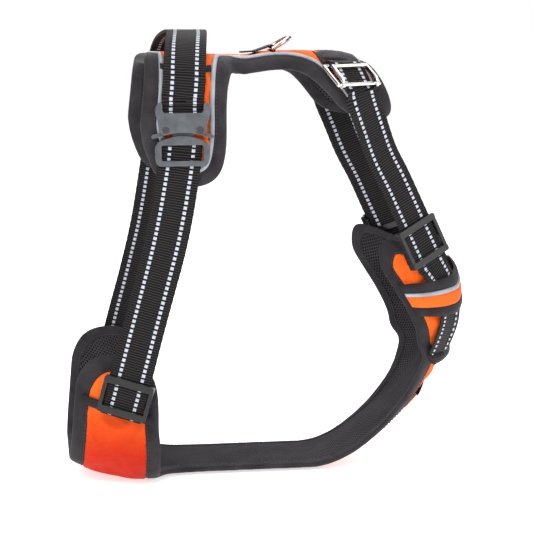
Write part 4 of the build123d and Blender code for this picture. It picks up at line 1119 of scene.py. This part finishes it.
def loop_over(bar, tail, outward, radius, lead):
    """Path that comes in along the tail, goes round the bar and back behind it; its two ends
    lie lead from the bar."""
    normal = unit(cross(tail, unit(cross(outward, tail))))
    end = along(bar, tail, lead)
    path = [(along(end, normal, radius), normal)]
    for i in range(9):
        a = math.pi * i / 8
        spoke = tuple(n * math.cos(a) - t * math.sin(a) for n, t in zip(normal, tail))
        path.append((along(bar, spoke, radius), spoke))
    path.append((along(end, normal, -radius), negative(normal)))
    return path


# girth strap, from the belly up to the plug
GIRTH_LOW, GIRTH_HIGH = (-145.4, -92.2, 66.0), (-116.6, -93.2, 172.0)
girth_dir = unit(sub(GIRTH_HIGH, GIRTH_LOW))
girth_path = [(point, near_normal(turn)) for point, turn in (
    (along(along(GIRTH_LOW, girth_dir, 1.5), (0, 1, 0), 1.2), 15),
    (along(GIRTH_LOW, girth_dir, 36), 15),
    (along(GIRTH_LOW, girth_dir, 72), 15),
    (GIRTH_HIGH, 15),
    ((-104.6, -94.4, 218), 10),
    ((-97.2, -96.1, 254), 5),
    ((-91.2, -96.7, 290), 0),
    ((-89.4, -96.2, 305.0), 0),
)]
# eye round the plug's bar
plug_path = loop_over(bar=(-88.8, -95.6, 311.0), tail=unit((-0.9, -0.4, -8.0)),
                      outward=(0.0, -1.0, 0.0), radius=1.95, lead=7.0)

# neck ring frame: a lower and an upper bar, square to the direction across them
LOWER_BAR = (72.2, -78.0, 361.8)
BAR_GAP = 27.0
bar_dir = unit((0.90, 0.43, 0.03))
ACROSS_GUESS = (-0.47, 0.66, 0.585)
across_dir = unit(along(ACROSS_GUESS, bar_dir, -dot(bar_dir, ACROSS_GUESS)))
ring_out = cross(bar_dir, across_dir)
upper_bar = along(LOWER_BAR, across_dir, BAR_GAP)

# neck strap, from the chest up to the lower bar
NECK_LOW, NECK_HIGH, NECK_TOP = (145.0, -68.0, 195.0), (108.5, -68.0, 272.0), (76.8, -77.0, 345)
neck_dir = unit(sub(NECK_HIGH, NECK_LOW))
neck_tail = unit(sub(NECK_TOP, LOWER_BAR))
neck_path = [(point, near_normal(turn)) for point, turn in (
    (NECK_LOW, -30),
    (along(NECK_LOW, neck_dir, 28), -30),
    (along(NECK_LOW, neck_dir, 56), -30),
    (NECK_HIGH, -30),
    ((95.4, -69.4, 297), -30),
    ((84.4, -73.2, 325), -29),
    (NECK_TOP, -27),
    (along(LOWER_BAR, neck_tail, 8.0), -26),
)]
neck_end_normal = neck_path[-1][1]
# the webbing runs on behind the lower bar, through the frame and over the upper bar
neck_loop_path = [
    (along(LOWER_BAR, neck_tail, 12.0), neck_end_normal),
    (along(along(LOWER_BAR, neck_tail, 6.5), ring_out, -0.8),
     unit(along(neck_end_normal, ring_out, 1.0))),
    (along(LOWER_BAR, ring_out, -2.7), ring_out),
    (along(along(LOWER_BAR, across_dir, 6.0), ring_out, -1.8), ring_out),
    (along(along(LOWER_BAR, across_dir, 13.5), ring_out, 0.4), ring_out),
] + loop_over(upper_bar, negative(across_dir), ring_out, radius=2.5, lead=5.0)

# anchor webbing from the upper bar over the withers: saddle p, v, height above the cover
ANCHOR = [(57, -44, 2.7), (56.5, -36, 1.5), (56, -28, 1.2), (56, -19, 1.2), (56, -9, 1.2),
          (56, -3, 1.2)]
anchor_tail = unit(sub(saddle.lifted(*ANCHOR[0]), upper_bar))
anchor_loop = loop_over(upper_bar, anchor_tail, ring_out, radius=2.55, lead=5.0)
anchor_path = (
    anchor_loop[:0:-1]
    + [(along(along(upper_bar, anchor_tail, 5.0), ring_out, 2.3), ring_out)]
    + [(along(saddle.lifted(p, v, extra), saddle.normal(p, v), 0.4), saddle.normal(p, v))
       for p, v, extra in ANCHOR])

# girth and neck straps are two layers, set off their path by about half a layer each
for who, side in SIDES:
    webbing(f"{who}_girth_webbing", on_side(girth_path, side),
            replaced=(f"{who}_girth_strap",), thick=1.15, off=0.62)
    webbing(f"{who}_girth_webbing_inner", on_side(girth_path[1:], side), thick=1.15, off=-0.66,
            side=-0.9 * side)
    webbing(f"{who}_plug_loop", on_side(plug_path, side), thick=1.2, width=35.5)
    webbing(f"{who}_neck_webbing", on_side(neck_path, side), replaced=(f"{who}_neck_strap",),
            thick=1.15, off=0.62)
    webbing(f"{who}_neck_webbing_inner", on_side(neck_path[1:], side), thick=1.15, off=-0.66,
            side=1.6 * side)
    webbing(f"{who}_neck_loop", on_side(neck_loop_path, side), thick=1.2, width=34.0)
    webbing(f"{who}_neck_anchor_webbing", on_side(anchor_path, side),
            replaced=(f"{who}_neck_tab",), thick=1.3, width=33.0, dash=False)

# Carrying handle, an arch over the back: its near half up to the middle
HANDLE_HALF = [
    (-88.2, -98.0, 339.0), (-88.1, -98.3, 345), (-88.0, -98.5, 352), (-87.2, -98.3, 360),
    (-86.4, -97.2, 369), (-85.8, -94.2, 378.5), (-84.8, -88.0, 387), (-83.4, -78.0, 395),
    (-81.4, -64.0, 401.5), (-79.2, -46.0, 405.8), (-77.2, -24.0, 408.4), (-76.4, 0.0, 409.2),
]


def arch_path(points):
    """Pairs each point with the normal that faces away from the inside of the arch."""
    path = []
    for i, point in enumerate(points):
        before, after = points[max(i - 1, 0)], points[min(i + 1, len(points) - 1)]
        n = unit(cross(unit(sub(after, before)), (-1, 0, 0)))
        if n[2] < 0 or (abs(n[2]) < 0.35 and n[1] * point[1] < 0):
            n = negative(n)
        path.append((point, n))
    return path


handle_path = arch_path(HANDLE_HALF + [(x, -y, z) for x, y, z in reversed(HANDLE_HALF[:-1])])
webbing("handle_webbing", handle_path, "handle", ("handle_strap",), width=36.6, off=0.75)
webbing("handle_webbing_inner", handle_path[1:-1], "handle", width=36.6, off=-0.75)

socket_path = loop_over(bar=(-88.2, -98.0, 333.6), tail=(0.0, 0.0, 1.0),
                        outward=(0.0, -1.0, 0.0), radius=1.55, lead=6.0)
# stitched end of the loop, flat over the handle webbing
SEWN_END = [
    ((-88.0, -98.5, 352.0), (0, -1, 0.02)), ((-87.6, -98.5, 355.5), (0, -1, 0.02)),
    ((-87.2, -98.3, 360), (0, -1, 0.06)), ((-86.8, -97.9, 364.5), (0, -1, 0.12)),
    ((-86.4, -97.2, 369), (0, -1, 0.18)),
]
for who, side in SIDES:
    webbing(f"{who}_socket_loop", on_side(socket_path, side), "handle", thick=0.85, width=34.8)
    webbing(f"{who}_handle_sewn_end", on_side(SEWN_END, side), "handle", width=36.9, thick=1.1,
            off=1.95)

# ring tabs
TAB = dict(width=27.0, dash=False)
TAB_LOOP = dict(radius=2.85, lead=5.0)
top_loop = loop_over(bar=(3.6, 0.0, 393.3), tail=unit((-1.0, 0.0, -0.28)),
                     outward=(0.0, 0.0, 1.0), **TAB_LOOP)
top_tab_path = (
    [((-24, 0, 390.0), (0, 0, 1)), ((-18, 0, 390.4), (0, 0, 1)), ((-11, 0, 391.2), (-0.1, 0, 1))]
    + top_loop[1:-1]
    + [((-2.5, 0, 389.6), (0, 0, -1))])
webbing("top_ring_webbing_tab", top_tab_path, replaced=("top_ring_tab",), **TAB)

TAB_REACH = 24             # how far up the chest the tab runs from the ring
chest_bar = belly.point(RING_P, 0, COVER_H + 4.6)
chest_up = unit(sub(belly.point(RING_P + TAB_REACH, 0, COVER_H + 3.4),
                    belly.point(RING_P, 0, COVER_H + 3.4)))
chest_out = belly.normal(RING_P, 0)
chest_tab_path = (
    [(belly.lifted(RING_P + ahead, 0, extra), belly.normal(RING_P + ahead, 0))
     for ahead, extra in ((TAB_REACH, 1.6), (18, 1.9))]
    + [(along(along(chest_bar, chest_up, 9.0), chest_out, 1.2), chest_out)]
    + loop_over(chest_bar, chest_up, chest_out, **TAB_LOOP)[1:-1]
    + [(along(along(chest_bar, chest_up, 4.0), chest_out, -2.6), negative(chest_out))])
webbing("chest_ring_webbing_tab", chest_tab_path, replaced=("chest_ring_tab",), **TAB)


# ---------------------------------------------------------------- hard parts kept from the CAD
def dress(node, mat):
    """Own material and crisp edges on a hard part; its mesh vertices stay as they are."""
    obj = NODES[node]
    me = obj.data
    me.materials.clear()
    me.materials.append(mat)
    if "custom_normal" in me.attributes:
        me.attributes.remove(me.attributes["custom_normal"])
    me.polygons.foreach_set("use_smooth", [True] * len(me.polygons))
    weld = obj.modifiers.new("weld", "WELD")
    weld.merge_threshold = 0.00001
    crisp = obj.modifiers.new("crisp", "EDGE_SPLIT")
    crisp.split_angle = math.radians(32)
    crisp.use_edge_sharp = False


SIDE_PARTS = {
    "socket_front_plate": BUCKLE, "socket_back_plate": BUCKLE, "lever_front": BUCKLE,
    "lever_rear": BUCKLE, "plug": BUCKLE, "socket_rivets": RIVET, "socket_bar": CHROME,
    "lever_spring": CHROME, "neck_ring": CHROME, "neck_hook": CHROME,
    "girth_slider": PLASTIC, "neck_slider": PLASTIC,
}
for who, _ in SIDES:
    for part, mat in SIDE_PARTS.items():
        dress(f"{who}_{part}", mat)
dress("top_ring", CHROME)
dress("chest_ring", CHROME)


# ================================================================ stage, light and camera, metres
def add_floor():
    """Pale floor that glows a little."""
    g = MaterialNodes("pale_floor")
    patches = g.noise(g.obj(), scale=3.0, detail=2.0)
    mat = g.finish({
        "Base Color": g.mix(patches, (0.93, 0.93, 0.93), (0.97, 0.97, 0.97)),
        "Roughness": 0.9, "Specular IOR Level": 0.1,
        "Emission Color": (1, 1, 1), "Emission Strength": 0.62})
    half, z = 14.0 / 2, -0.0012
    me = bpy.data.meshes.new("floor")
    me.from_pydata([(-half, -half, z), (half, -half, z), (half, half, z), (-half, half, z)], [],
                   [(0, 1, 2, 3)])
    me.materials.append(mat)
    obj = bpy.data.objects.new("floor", me)
    bpy.context.scene.collection.objects.link(obj)


def add_world():
    """White surroundings, dimmer off camera; reflections see dark and white zones."""
    world = bpy.data.worlds.new("studio")
    bpy.context.scene.world = world
    world.use_nodes = True
    g = Nodes(world.node_tree)
    background = world.node_tree.nodes["Background"]
    rays = g.node("ShaderNodeLightPath").outputs
    strength = g.node("ShaderNodeMapRange")
    g.put(strength.inputs[0], rays["Is Camera Ray"])
    strength.inputs[3].default_value = 0.62      # for other rays
    strength.inputs[4].default_value = 1.0       # for camera rays
    g.put(background.inputs[1], strength.outputs[0])
    direction = g.node("ShaderNodeTexCoord").outputs["Generated"]
    band = g.ramp(g.noise(direction, scale=2.6, detail=1.0), zero=0.47, one=0.56)
    zones = g.mix(band, (0.16, 0.10, 0.07), (1.0, 1.0, 1.0))
    g.put(background.inputs[0], g.mix(rays["Is Glossy Ray"], (1.0, 1.0, 1.0), zones))


def aim(obj, target):
    direction = Vector(target) - obj.location
    obj.rotation_euler = direction.to_track_quat("-Z", "Y").to_euler()


def add_area_light(name, location, size, power):
    light = bpy.data.lights.new(name, "AREA")
    light.energy = power
    light.size = size
    obj = bpy.data.objects.new(name, light)
    obj.location = location
    aim(obj, (0, 0, 0.2))
    bpy.context.scene.collection.objects.link(obj)


def add_camera():
    data = bpy.data.cameras.new("camera")
    camera = bpy.data.objects.new("camera", data)
    bpy.context.scene.collection.objects.link(camera)
    camera.location = (-0.219556, -1.469086, 0.396760)
    aim(camera, (0, 0, 0.188))
    data.sensor_width = 36.0
    data.lens = 106.649156
    data.clip_end = 50.0
    bpy.context.scene.camera = camera


add_floor()
add_world()
add_area_light("key", location=(-0.9, -1.5, 1.5), size=1.1, power=26.0)
add_area_light("fill", location=(1.5, -1.2, 0.9), size=1.2, power=13.0)
add_area_light("top", location=(0.1, 0.2, 1.7), size=1.4, power=16.0)
add_area_light("back", location=(0.3, 1.6, 1.0), size=1.4, power=12.0)
add_camera()
bpy.context.scene.view_settings.view_transform = "Standard"

bpy.context.view_layer.update()
